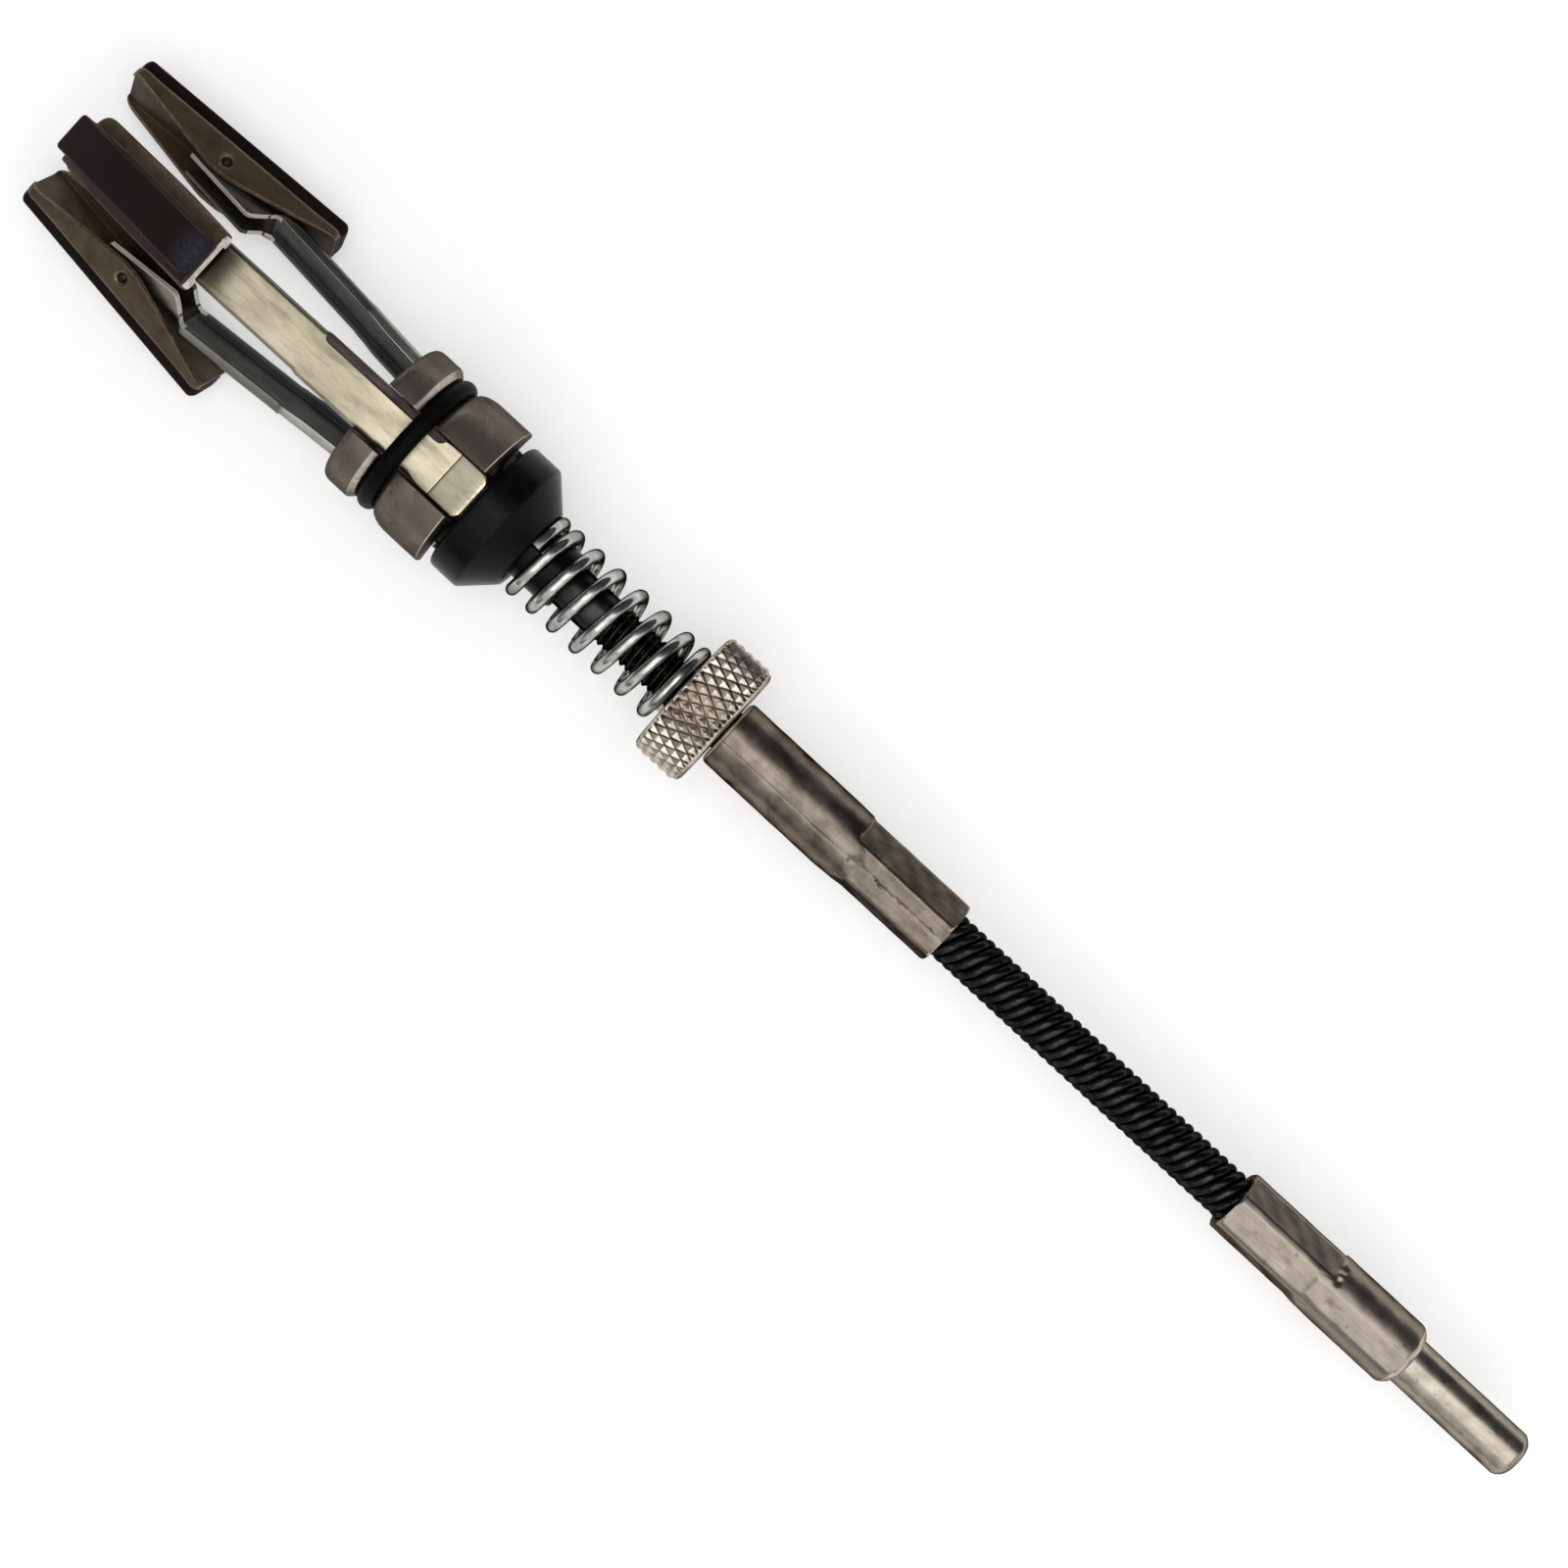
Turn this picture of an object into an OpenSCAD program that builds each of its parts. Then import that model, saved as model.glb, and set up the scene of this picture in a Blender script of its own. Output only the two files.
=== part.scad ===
// Three-legged cylinder hone on a flexible drive shaft.
// Millimetres. +Z runs along the tool's axis from the drive shank to the stones.
// The origin is on the axis, halfway along the plain part of the shank that a chuck grips.

/* [Drive shank] */
// Diameter of the round shank
shank_d = 6.35; // [5:0.05:6.8]
// Plain length that the chuck grips
shank_grip_l = 17.4; // [12:0.2:30]
// Chamfer at the shank's free end
shank_chamfer = 0.6; // [0.2:0.1:1.2]
// Length of the shank's plug inside the lower ferrule
shank_plug_l = 8; // [5:0.5:9]

/* [Lower ferrule] */
// Diameter of the round body
lower_ferrule_d = 8.9; // [8.6:0.1:11]
// Length of the chamfered shoulder next to the shank
lower_shoulder_l = 1.2; // [0.6:0.1:2]
// Length of the round body with its shoulder
lower_body_l = 13; // [11:0.5:18]
// Diameter of the crimped part
lower_crimp_d = 8.4; // [8.2:0.1:8.8]
// Length of the crimped part
lower_crimp_l = 15.4; // [12:0.2:20]

/* [Upper ferrule] */
// Diameter of the round body
upper_ferrule_d = 9.2; // [8.8:0.1:11]
// Length of the round body
upper_body_l = 18.9; // [16:0.1:24]
// Diameter of the crimped part
upper_crimp_d = 8.7; // [8.3:0.1:8.8]
// Length of the crimped part
upper_crimp_l = 17.2; // [14:0.2:20]
// Distance across the crimp's flats, on both ferrules
crimp_flats = 7.8; // [7.5:0.1:8.2]

/* [Flexible shaft] */
// Diameter over the outer winding
flex_d = 6.15; // [5.6:0.05:6.4]
// Length that shows between the ferrules
flex_free_l = 47.1; // [36:0.1:80]
// Diameter of the inner core
flex_core_d = 3.2; // [2.4:0.1:3.8]
// Length of shaft held in each ferrule
flex_held_l = 14; // [10:0.5:15]

/* [Spindle] */
// Diameter of the plain spindle
spindle_d = 5.9; // [5.4:0.1:6.2]
// Outer diameter of the thread
thread_d = 5.9; // [5.4:0.1:6.2]
// Pitch of the thread
thread_pitch = 0.907; // [0.7:0.001:1.3]
// Depth of the thread
thread_depth = 0.45; // [0.3:0.05:0.6]
// Length of the thread above the upper ferrule
thread_l = 19.9; // [14:0.1:20]
// Diameter of the tenon that passes the cup's floor
tenon_d = 3.4; // [3:0.1:3.4]
// Diameter of the rivet end inside the hub
rivet_d = 2.7; // [2.2:0.1:2.8]
// Diameter and height of the rivet's head
rivet_head_d = 4.4; // [3.4:0.1:4.6]
rivet_head_h = 1; // [0.6:0.1:1.4]

/* [Adjusting nut] */
// Outer diameter of the nut
nut_d = 17.7; // [14:0.1:20]
// Height of the nut
nut_h = 7.1; // [5:0.1:9]
// Chamfer on the nut's edges
nut_chamfer = 0.6; // [0.3:0.1:1]

/* [Spring] */
// Diameter of the wire
wire_d = 1.65; // [1.2:0.05:1.7]
// Outer diameter of the spring
spring_od = 11.6; // [11.5:0.1:12]
// Height of the spring between its seats
spring_h = 24.7; // [22:0.1:34]
// Number of curls
spring_curls = 7.6; // [5:0.1:7.8]
// Gap between each closed end and the curl next to it
end_gap = 0.2; // [0.15:0.05:0.6]

/* [Thrust cup] */
// Outer diameter of the cup
cup_d = 18.8; // [17.6:0.1:19.6]
// Diameter and length of the neck inside the spring
neck_d = 7.7; // [7.2:0.1:7.8]
neck_l = 6.1; // [3:0.1:7]
// Diameter of the spring's seat
seat_d = 11.2; // [10.8:0.1:11.6]
// Height of the cup's round wall
cup_wall_h = 4.3; // [3.8:0.1:6]
// Chamfer on the cup's upper corner
cup_chamfer = 0.8; // [0.3:0.1:1]
// Rise of the cup as the arms open fully
cup_lift = 0.95; // [0.9:0.05:1]

/* [Hub] */
// Outer diameter of the hub
hub_d = 20.6; // [20:0.1:24]
// Height of the hub
hub_h = 15.4; // [15.4:0.1:17]
// Gap between the hub and the cup with the arms at rest
hub_gap = 1.2; // [1.1:0.1:2]
// Height of the arms' hinge line above the hub's lower face
hinge_h = 9.3; // [9.1:0.1:9.5]
// Width of each arm's slot
slot_w = 7; // [6.8:0.1:7.4]
// Outer diameter of the hub ring
ring_od = 20; // [19.8:0.1:20.4]
// Thickness of the hub ring
ring_cord_d = 2; // [1.7:0.1:2.1]

/* [Arms] */
// Width over the arm's flanges
arm_w = 6.2; // [6:0.1:6.4]
// Thickness of the arm's sheet
arm_t = 0.9; // [0.7:0.05:1]
// Depth of the channel along the arm
arm_depth = 1.6; // [1.3:0.1:2.4]
// Extra depth of the channel next to the hub
arm_root_depth = 0.2; // [0.1:0.1:0.5]
// Length from the hinge line to the shoe's pivot
arm_l = 40; // [36:0.5:60]
// Width over the narrow tip
tip_w = 5; // [4.6:0.1:5.2]
// Distance that the web steps in towards the tip
tip_step = 1.3; // [1:0.1:1.4]
// Angle that the arm's tail bends outwards
tail_bend = 12.8; // [6:0.2:13]
// Angle that the arms lean out at rest
arm_lean = 5.3; // [4.5:0.1:5.6]
// Angle that the arms swing out from rest
arm_swing = 20; // [12:1:20]

/* [Shoes and stones] */
// Distance that the stone stands out past each end of the shoe
stone_over = 0.2; // [0:0.05:1]
// Width of the shoe
shoe_w = 8.3; // [8.2:0.1:8.8]
// Thickness of the shoe's sheet
shoe_t = 0.8; // [0.6:0.05:0.85]
// Distance from the pivot to the shoe's outer face
shoe_rise = 2.8; // [2.7:0.1:3.4]
// Distance from the pivot to the peak of the shoe's ears
ear_drop = 2.1; // [1.8:0.1:2.4]
// Diameter of the pivot bosses
boss_d = 2.2; // [1.8:0.1:2.2]
// Length, width and thickness of the stone
stone_l = 31.75; // [26:0.05:36]
stone_w = 5.3; // [4.6:0.1:6.4]
stone_t = 2.3; // [1:0.1:2.6]
// Tilt of the front shoe at rest, hub end outwards
front_tilt = 38; // [4:1:48]
// Tilt of the right shoe at rest
right_tilt = 4; // [2:1:10]
// Tilt of the left shoe at rest
left_tilt = 8; // [2:1:10]

/* [Hidden] */
$fn = 64;

// Fits
press = 0.02;      // radial gap of pieces that are pressed or crimped together
run = 0.05;        // radial gap of pieces that turn or slide on each other
gap = 0.2;         // gap between faces that only come close
toe_gap = 0.1;     // gap between an arm's toe and the hollow in the cup
plug_step = 0.3;   // step from the shank down to its plug
over = 1;          // how far a cutter runs past the face that it cuts

// Places along the axis
shank_top_z = shank_grip_l / 2;
shank_end_z = -shank_top_z - shank_chamfer;
lower_mid_z = shank_top_z + lower_body_l;
flex_low_z = lower_mid_z + lower_crimp_l;
flex_top_z = flex_low_z + flex_free_l;
bend_low_z = flex_low_z + flex_free_l / 4;
bend_top_z = flex_low_z + flex_free_l * 3 / 4;
upper_mid_z = flex_top_z + upper_crimp_l;
upper_top_z = upper_mid_z + upper_body_l;
nut_z = upper_top_z + gap;
nut_top_z = nut_z + nut_h;
seat_z = nut_top_z + spring_h;
cone_h = (cup_d - seat_d) / 2;
cup_top_z = seat_z + cone_h + cup_wall_h;
hub_z = cup_top_z + hub_gap;
hinge_z = hub_z + hinge_h;
hub_top_z = hub_z + hub_h;

// Flexible shaft
flex_r = flex_d / 2;
dish_r = flex_r + 0.15;            // hollow that the next length's round end sits in
dish_drop = 1.3;                   // how far the hollow's rim lies below the bend's centre
core_stop = flex_r + gap;          // where the core stops short of a bend's centre
shaft_blind_z = flex_top_z + flex_held_l + gap;   // end of the upper ferrule's lower bore

// Spindle
spindle_end_z = upper_mid_z - 1.5;
thread_z = upper_top_z - 0.4;
thread_top_z = upper_top_z + thread_l;
spindle_top_z = cup_top_z - 3.4;
cup_floor_z = spindle_top_z + cup_lift + gap;

// Directions of the three arms round the axis
front_side = -90;
right_side = front_side + 120;
left_side = front_side + 240;

// Hinge of the arms in the hub; x runs outwards and z upwards from the hinge line
hinge_r = 5.6;
web_x = 1.6;                       // outer face of the web
lobe_r = 1.2;
core_top = 3;                      // top of the hub's core, where the rivet is spread
core_low = -7.2;                   // bottom of the hub's core
core_foot_x = -3.29;
lip_x = -0.77;
lip_z = 1;
waist_w = 5;                       // width of the web at the hub ring
tail_w = 6.4;                      // width of the tail below it
toe_r = arm_t / 2;
tail_z = -4.7;                     // where the tail bends
tail_l = 5.4;
toe_x = web_x - toe_r + tail_l * sin(tail_bend);   // centre of the toe
toe_z = tail_z - tail_l * cos(tail_bend);
tail_corner = 1.6;
rebate_w = 0.45;                   // ledge along the web's edges near the hub
rebate_d = 0.4;
rebate_top = 15.4;
arm_min = -1.5;                    // degrees that the arms close from rest
function turned(x, z, a) = [x * cos(a) + z * sin(a), -x * sin(a) + z * cos(a)];
toe_rest = turned(toe_x, toe_z, arm_lean);
lift_rate = cup_lift / arm_swing;  // rise of the cup for each degree of swing

// Tip of the arms; x and z as above, along the leaning arm
pivot_x = web_x - 2.3;
pivot_z = arm_l;
joggle_z = arm_l - 9;              // where the arm steps in and narrows
joggle_l = 2.8;
tip_inner_x = pivot_x - 2;
tip_top = arm_l + 3.8;
tip_r = 1.65;
web_end = arm_l - 5;
root_top = 12;                     // where the extra depth next to the hub ends
deepen_z = joggle_z;               // where the flanges start to deepen towards the tip
deepen_l = 3.2;

// Shoes
shoe_l = stone_l - 2 * stone_over;
ear_end = 1.2;                     // height of the ears at the ends of the shoe
shoe_corner = 1.4;
dimple_r = 0.65;
dimple_depth = 1.1;
stone_corner = 1;

// Spring
wire_r = wire_d / 2;
spring_r = spring_od / 2 - wire_r;
seat_gap = 0.03;                   // the wire lies this far off its seats
end_curls = 0.7;
curl_rings = 8;
tube_sides = 6;
rise = spring_h - wire_d - 2 * seat_gap;
// The closed ends rise slowly, so that the next curl clears them by end_gap
open_curls = spring_curls - 2 * end_curls;
open_share = (1 - end_curls) / open_curls;
end_pitch = (wire_d + end_gap - open_share * rise) / (end_curls * (1 - 2 * open_share));
mid_pitch = (rise - 2 * end_curls * end_pitch) / open_curls;
function spring_rise(c) =
  c < end_curls ? c * end_pitch :
  c > spring_curls - end_curls ? rise - (spring_curls - c) * end_pitch :
  end_curls * end_pitch + (c - end_curls) * mid_pitch;
// The curls run left-handed, and the upper cut end lies at the front
function spring_turn(c) = 360 * (spring_curls - c) - 80;
function spring_point(c) = [
  spring_r * cos(spring_turn(c)), spring_r * sin(spring_turn(c)),
  nut_top_z + seat_gap + wire_r + spring_rise(c)
];

// Least gap between neighbouring curls, measured on points of the wire's centre line
spring_steps = 24;
spring_checks = [for (i = [0 : floor((spring_curls - 1.25) * spring_steps)])
  min([for (j = [i + spring_steps * 3 / 4 : i + spring_steps * 5 / 4])
    norm(spring_point(i / spring_steps) - spring_point(j / spring_steps))]) - wire_d];
echo(spring_least_gap_mm = min(spring_checks));

// Solid between two heights on the axis
module rod(z0, z1, r) {
  translate([0, 0, z0]) cylinder(h = z1 - z0, r = r);
}

// Bore along the axis, between two heights
module bore(z0, z1, r) {
  rod(z0, z1, r);
}

// Places its children, drawn in an arm's x and z, at a direction round the axis
module around(direction) {
  rotate([0, 0, direction]) children();
}

// Solid w wide along Y from an outline in X and Z
module slab(w) {
  rotate([90, 0, 0]) linear_extrude(height = w, center = true) children();
}

// Turns its children out round the hinge line of an arm
module at_hinge(angle) {
  translate([hinge_r, 0, hinge_z]) rotate([0, angle, 0]) children();
}

// Six flats pressed into a ferrule, which run out at one end over the length of a slope
module pressed_flats(z_plain, z_run, slope) {
  far = 3 * lower_ferrule_d;
  for (i = [0 : 5])
    rotate([0, 0, 60 * i]) slab(far)
      polygon([
        [crimp_flats / 2, z_plain], [crimp_flats / 2, z_run],
        [crimp_flats / 2 + slope, z_run + slope * 2.2],
        [far, z_run + slope * 2.2], [far, z_plain]
      ]);
}

module drive_shank() {
  r = shank_d / 2;
  plug_r = r - plug_step;
  plug_z = shank_top_z + shank_plug_l;
  color([0.66, 0.63, 0.58]) rotate_extrude() polygon([
    [0, shank_end_z], [r - shank_chamfer, shank_end_z], [r, -shank_top_z],
    [r, shank_top_z], [plug_r, shank_top_z], [plug_r, plug_z], [0, plug_z]
  ]);
}

module lower_ferrule() {
  body_r = lower_ferrule_d / 2;
  shoulder_r = body_r - lower_shoulder_l * 0.8;
  color([0.55, 0.52, 0.48]) difference() {
    union() {
      rotate_extrude() polygon([
        [0, shank_top_z], [shoulder_r, shank_top_z], [body_r, shank_top_z + lower_shoulder_l],
        [body_r, lower_mid_z], [0, lower_mid_z]
      ]);
      difference() {
        rod(lower_mid_z - over, flex_low_z, lower_crimp_d / 2);
        translate([0, 0, flex_low_z + lower_mid_z]) mirror([0, 0, 1])
          rotate([0, 0, 15]) pressed_flats(lower_mid_z - over, flex_low_z - 1.6, 0.6);
      }
    }
    bore(shank_top_z - over, shank_top_z + shank_plug_l + gap, shank_d / 2 - plug_step + press);
    bore(flex_low_z - flex_held_l - gap, flex_low_z + over, flex_r + press);
  }
}

module upper_ferrule() {
  body_r = upper_ferrule_d / 2;
  color([0.56, 0.53, 0.49]) difference() {
    union() {
      difference() {
        rod(flex_top_z, upper_mid_z + over, upper_crimp_d / 2);
        rotate([0, 0, 15]) pressed_flats(flex_top_z - over, upper_mid_z - 1.8, 0.8);
      }
      rotate_extrude() polygon([
        [0, upper_mid_z], [upper_crimp_d / 2, upper_mid_z], [body_r, upper_mid_z + 0.6],
        [body_r, upper_top_z - 0.8], [body_r - 0.25, upper_top_z - 0.25],
        [body_r - 0.8, upper_top_z], [0, upper_top_z]
      ]);
    }
    bore(flex_top_z - over, shaft_blind_z, flex_r + press);
    bore(spindle_end_z - gap, upper_top_z + over, thread_d / 2 + press);
  }
}

// Outer winding between two heights, with a round end below and a hollow above where it bends
module winding(z0, z1, round_low, hollow_top, core_z0, core_z1) {
  color([0.08, 0.08, 0.09]) difference() {
    union() {
      rod(z0, z1 - (hollow_top ? dish_drop : 0), flex_r);
      if (round_low) translate([0, 0, z0]) sphere(r = flex_r);
    }
    if (hollow_top) translate([0, 0, z1]) sphere(r = dish_r);
    bore(core_z0, core_z1, flex_core_d / 2 + press);
  }
}

module flex_core(z0, z1) {
  color([0.2, 0.2, 0.21]) rod(z0, z1, flex_core_d / 2);
}

flex_foot_z = flex_low_z - flex_held_l;
flex_head_z = flex_top_z + flex_held_l;
core_low_top = bend_low_z - core_stop - gap;
core_mid_low = bend_low_z + gap;
core_mid_top = bend_top_z - core_stop - gap;
core_up_low = bend_top_z + gap;

module flex_winding_lower() {
  winding(flex_foot_z, bend_low_z, false, true, flex_foot_z - over, core_low_top);
}
module flex_winding_middle() {
  winding(bend_low_z, bend_top_z, true, true, core_mid_low, core_mid_top);
}
module flex_winding_upper() {
  winding(bend_top_z, flex_head_z, true, false, core_up_low, flex_head_z + over);
}
module flex_core_lower() {
  flex_core(flex_foot_z, core_low_top);
}
module flex_core_middle() {
  flex_core(core_mid_low, core_mid_top);
}
module flex_core_upper() {
  flex_core(core_up_low, flex_head_z);
}

module spindle() {
  major = thread_d / 2;
  minor = major - thread_depth;
  threads = floor((thread_top_z - thread_z) / thread_pitch);
  crests = [for (i = [0 : threads - 1], p = [[0, major], [0.5, minor]])
    [p[1], thread_z + (i + p[0]) * thread_pitch]];
  color([0.42, 0.41, 0.40]) rotate_extrude() polygon(concat(
    [[0, spindle_end_z], [major, spindle_end_z]],
    crests,
    [
      [major, thread_z + threads * thread_pitch], [spindle_d / 2, thread_top_z],
      [spindle_d / 2, spindle_top_z], [tenon_d / 2, spindle_top_z],
      [tenon_d / 2, hinge_z + core_low], [rivet_d / 2, hinge_z + core_low],
      [rivet_d / 2, hinge_z + core_top], [rivet_head_d / 2, hinge_z + core_top],
      [rivet_head_d / 2, hinge_z + core_top + rivet_head_h / 2],
      [rivet_head_d / 4, hinge_z + core_top + rivet_head_h],
      [0, hinge_z + core_top + rivet_head_h]
    ]
  ));
}

module adjusting_nut() {
  r = nut_d / 2;
  hole_r = thread_d / 2 + run;
  color([0.52, 0.49, 0.45]) difference() {
    rotate_extrude() polygon([
      [0, nut_z], [r - nut_chamfer, nut_z], [r, nut_z + nut_chamfer],
      [r, nut_top_z - nut_chamfer / 2], [r - nut_chamfer / 2, nut_top_z], [0, nut_top_z]
    ]);
    bore(nut_z - over, nut_top_z + over, hole_r);
  }
}

// One unbroken tube along the spring's centre line
module coil_spring() {
  rings = round(spring_curls * curl_rings);
  points = [for (i = [0 : rings], k = [0 : tube_sides - 1])
    let (c = i / rings * spring_curls, a = spring_turn(c), b = 360 / tube_sides * (k + 0.5))
    spring_point(c) + wire_r * [cos(b) * cos(a), cos(b) * sin(a), sin(b)]];
  function at(i, k) = i * tube_sides + (k % tube_sides);
  sides = [for (i = [0 : rings - 1], k = [0 : tube_sides - 1], f = [
    [at(i, k), at(i + 1, k), at(i + 1, k + 1)], [at(i, k), at(i + 1, k + 1), at(i, k + 1)]
  ]) f];
  ends = [for (k = [1 : tube_sides - 2], f = [
    [at(0, 0), at(0, k), at(0, k + 1)], [at(rings, 0), at(rings, k + 1), at(rings, k)]
  ]) f];
  color([0.75, 0.75, 0.73]) polyhedron(points = points, faces = concat(sides, ends));
}

// Hollow in the cup's top that an arm's toe rides on, as points of its profile from the wall inwards
function toe_at(a) = turned(toe_rest[0], toe_rest[1], a) - [0, lift_rate * a];
function dish_point(a) =
  let (
    along = toe_at(a + 0.5) - toe_at(a - 0.5),
    across = [along[1], -along[0]] / norm(along),
    up = across[1] > 0 ? across : -across
  )
  [hinge_r, hinge_z] + toe_at(a) - (toe_r + toe_gap) * up;

module thrust_cup() {
  r = cup_d / 2;
  dish_steps = 8;
  dish = [for (i = [0 : dish_steps]) dish_point(arm_min + (arm_swing - arm_min) * i / dish_steps)];
  color([0.06, 0.06, 0.07]) difference() {
    rotate_extrude() polygon(concat(
      [
        [0, seat_z - neck_l], [neck_d / 2, seat_z - neck_l], [neck_d / 2, seat_z],
        [seat_d / 2, seat_z], [r, seat_z + cone_h], [r, cup_top_z - cup_chamfer],
        [r - cup_chamfer, cup_top_z], [dish[0][0] + 0.3, cup_top_z]
      ],
      dish,
      [[0, dish[dish_steps][1]]]
    ));
    bore(seat_z - neck_l - over, cup_floor_z, spindle_d / 2 + run);
    bore(seat_z, cup_top_z + over, tenon_d / 2 + 0.15);
  }
}

// Outline of one slot of the hub, with the half-round saddle that the arm's lobes sit in
module slot_outline() {
  translate([hinge_r, hinge_z]) {
    polygon([
      [lip_x, lip_z], [-hinge_r + 2.5, core_top], [-hinge_r, core_top], [-hinge_r, hub_h],
      [hub_d, hub_h], [hub_d, -hub_h], [-hinge_r, -hub_h], [-hinge_r, core_low],
      [core_foot_x, core_low], [lip_x, -lip_z]
    ]);
    circle(r = lobe_r + run);
  }
}

module hub() {
  r = hub_d / 2;
  groove = ring_cord_d / 2 + 0.35;
  groove_r = ring_od / 2 - ring_cord_d - 0.25;
  shoulder = r - 1.3;
  color([0.42, 0.38, 0.34]) difference() {
    rotate_extrude() polygon(concat(
      [[0, hub_z], [r, hub_z]],
      [for (a = [0 : 15 : 75])
        [shoulder + 1.3 * cos(a), hinge_z - groove - 3 + 3 * sin(a)]],
      [
        [shoulder, hinge_z - groove], [groove_r, hinge_z - groove],
        [groove_r, hinge_z + groove], [r - 0.7, hinge_z + groove],
        [r, hinge_z + groove + 0.7], [r, hub_top_z - 1],
        [r - 0.3, hub_top_z - 0.3], [r - 1, hub_top_z], [0, hub_top_z]
      ]
    ));
    for (i = [0 : 2])
      around(front_side + 120 * i) slab(slot_w) slot_outline();
    bore(hub_z - over, hub_top_z + over, rivet_d / 2 + press);
  }
}

module hub_ring() {
  color([0.05, 0.05, 0.05]) translate([0, 0, hinge_z])
    rotate_extrude() translate([(ring_od - ring_cord_d) / 2, 0]) circle(d = ring_cord_d, $fn = 32);
}

// Side outline of an arm's two flanges
module flange_outline() {
  inner = web_x - arm_depth;
  root = inner - arm_root_depth;
  steps = 8;
  curve = [for (i = [steps : -1 : 0])
    let (t = i / steps, w = t * t * (3 - 2 * t))
    [inner + (tip_inner_x - inner) * w, deepen_z + deepen_l * t]];
  union() {
    polygon(concat(
      [
        [web_x, -3.4], [web_x, joggle_z], [web_x - tip_step, joggle_z + joggle_l],
        [web_x - tip_step, pivot_z - 1.8], [pivot_x + tip_r, pivot_z],
        [pivot_x + tip_r * cos(70), pivot_z + tip_r * sin(70)],
        [tip_inner_x, tip_top]
      ],
      curve,
      [[inner, root_top + 3], [root, root_top], [root, -1.1], [root + 0.4, -2.2]]
    ));
    circle(r = lobe_r);
    translate([pivot_x, pivot_z]) circle(r = tip_r);
  }
}

// Front outline of one flange, a strip that steps in towards the tip
module flange_strip() {
  a = arm_w / 2;
  t = tip_w / 2;
  w = waist_w / 2;
  polygon([
    [w, -3], [w, 2.6], [a, 3.6], [a, joggle_z], [t, joggle_z + joggle_l], [t, tip_top + over],
    [t - arm_t, tip_top + over], [t - arm_t, joggle_z + joggle_l], [a - arm_t, joggle_z],
    [a - arm_t, 3.6], [w - arm_t, 2.6], [w - arm_t, -3]
  ]);
}

// Side outline of the web, from the toe to the end of the narrow tip
module web_outline() {
  mid_x = web_x - toe_r;
  side = [toe_r * cos(tail_bend), toe_r * sin(tail_bend)];
  polygon([
    [web_x - arm_t, tail_z], [web_x, tail_z], [web_x, joggle_z],
    [web_x - tip_step, joggle_z + joggle_l], [web_x - tip_step, web_end],
    [web_x - tip_step - arm_t, web_end], [web_x - tip_step - arm_t, joggle_z + joggle_l],
    [web_x - arm_t, joggle_z]
  ]);
  polygon([
    [mid_x, tail_z] - side, [mid_x, tail_z] + side, [toe_x, toe_z] + side, [toe_x, toe_z] - side
  ]);
  translate([mid_x, tail_z]) circle(r = toe_r);
  translate([toe_x, toe_z]) circle(r = toe_r);
}

// Front outline of the web: rounded tail, waist, channel and narrow tip
module web_front() {
  a = arm_w / 2;
  t = tip_w / 2;
  w = waist_w / 2;
  b = tail_w / 2;
  foot = toe_z - toe_r;
  corner = [for (i = [0 : 15 : 90])
    [b - tail_corner + tail_corner * sin(i), foot + tail_corner - tail_corner * cos(i)]];
  half = concat(
    corner,
    [[b, -4.2], [w, -3], [w, 2.6], [a, 3.6], [a, joggle_z], [t, joggle_z + joggle_l], [t, web_end + over]]
  );
  polygon(concat(half, [for (i = [len(half) - 1 : -1 : 0]) [-half[i][0], half[i][1]]]));
}

// Cutters for the ledges along the outer face next to the hub
module web_ledges() {
  for (s = [-1, 1])
    translate([web_x, s * arm_w / 2, (rebate_top + 2.6) / 2])
      cube([2 * rebate_d, 2 * rebate_w, rebate_top - 2.6], center = true);
}

module front_cut(depth) {
  rotate([90, 0, 90]) linear_extrude(height = depth, center = true) children();
}

module arm() {
  difference() {
    union() {
      intersection() {
        slab(arm_w + over) flange_outline();
        union() {
          front_cut(6 * arm_depth) flange_strip();
          mirror([0, 1, 0]) front_cut(6 * arm_depth) flange_strip();
        }
      }
      intersection() {
        slab(arm_w + 2 * over) web_outline();
        front_cut(6 * arm_depth) web_front();
      }
    }
    web_ledges();
    translate([pivot_x, 0, pivot_z]) rotate([90, 0, 0])
      cylinder(h = arm_w + 2 * over, r = boss_d / 2 + run, center = true);
  }
}

module placed_arm(direction) {
  color([0.74, 0.70, 0.60]) around(direction) at_hinge(arm_lean) arm();
}

module arm_front() {
  placed_arm(front_side);
}
module arm_right() {
  placed_arm(right_side);
}
module arm_left() {
  placed_arm(left_side);
}

// Side outline of a shoe's ears, with a blunt peak
module ear_outline() {
  end_x = shoe_rise - ear_end;
  polygon([
    [shoe_rise, -shoe_l / 2], [shoe_rise, shoe_l / 2], [end_x, shoe_l / 2],
    [-ear_drop + 0.25, 1], [-ear_drop, 0], [-ear_drop + 0.25, -1], [end_x, -shoe_l / 2]
  ]);
}

// Plan of a shoe's plate, with rounded corners
module plate_plan() {
  x = shoe_w / 2 - shoe_corner;
  y = shoe_l / 2 - shoe_corner;
  union() {
    square([shoe_w, 2 * y], center = true);
    square([2 * x, shoe_l], center = true);
    for (i = [-1, 1], j = [-1, 1]) translate([i * x, j * y]) circle(r = shoe_corner, $fn = 32);
  }
}

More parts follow.
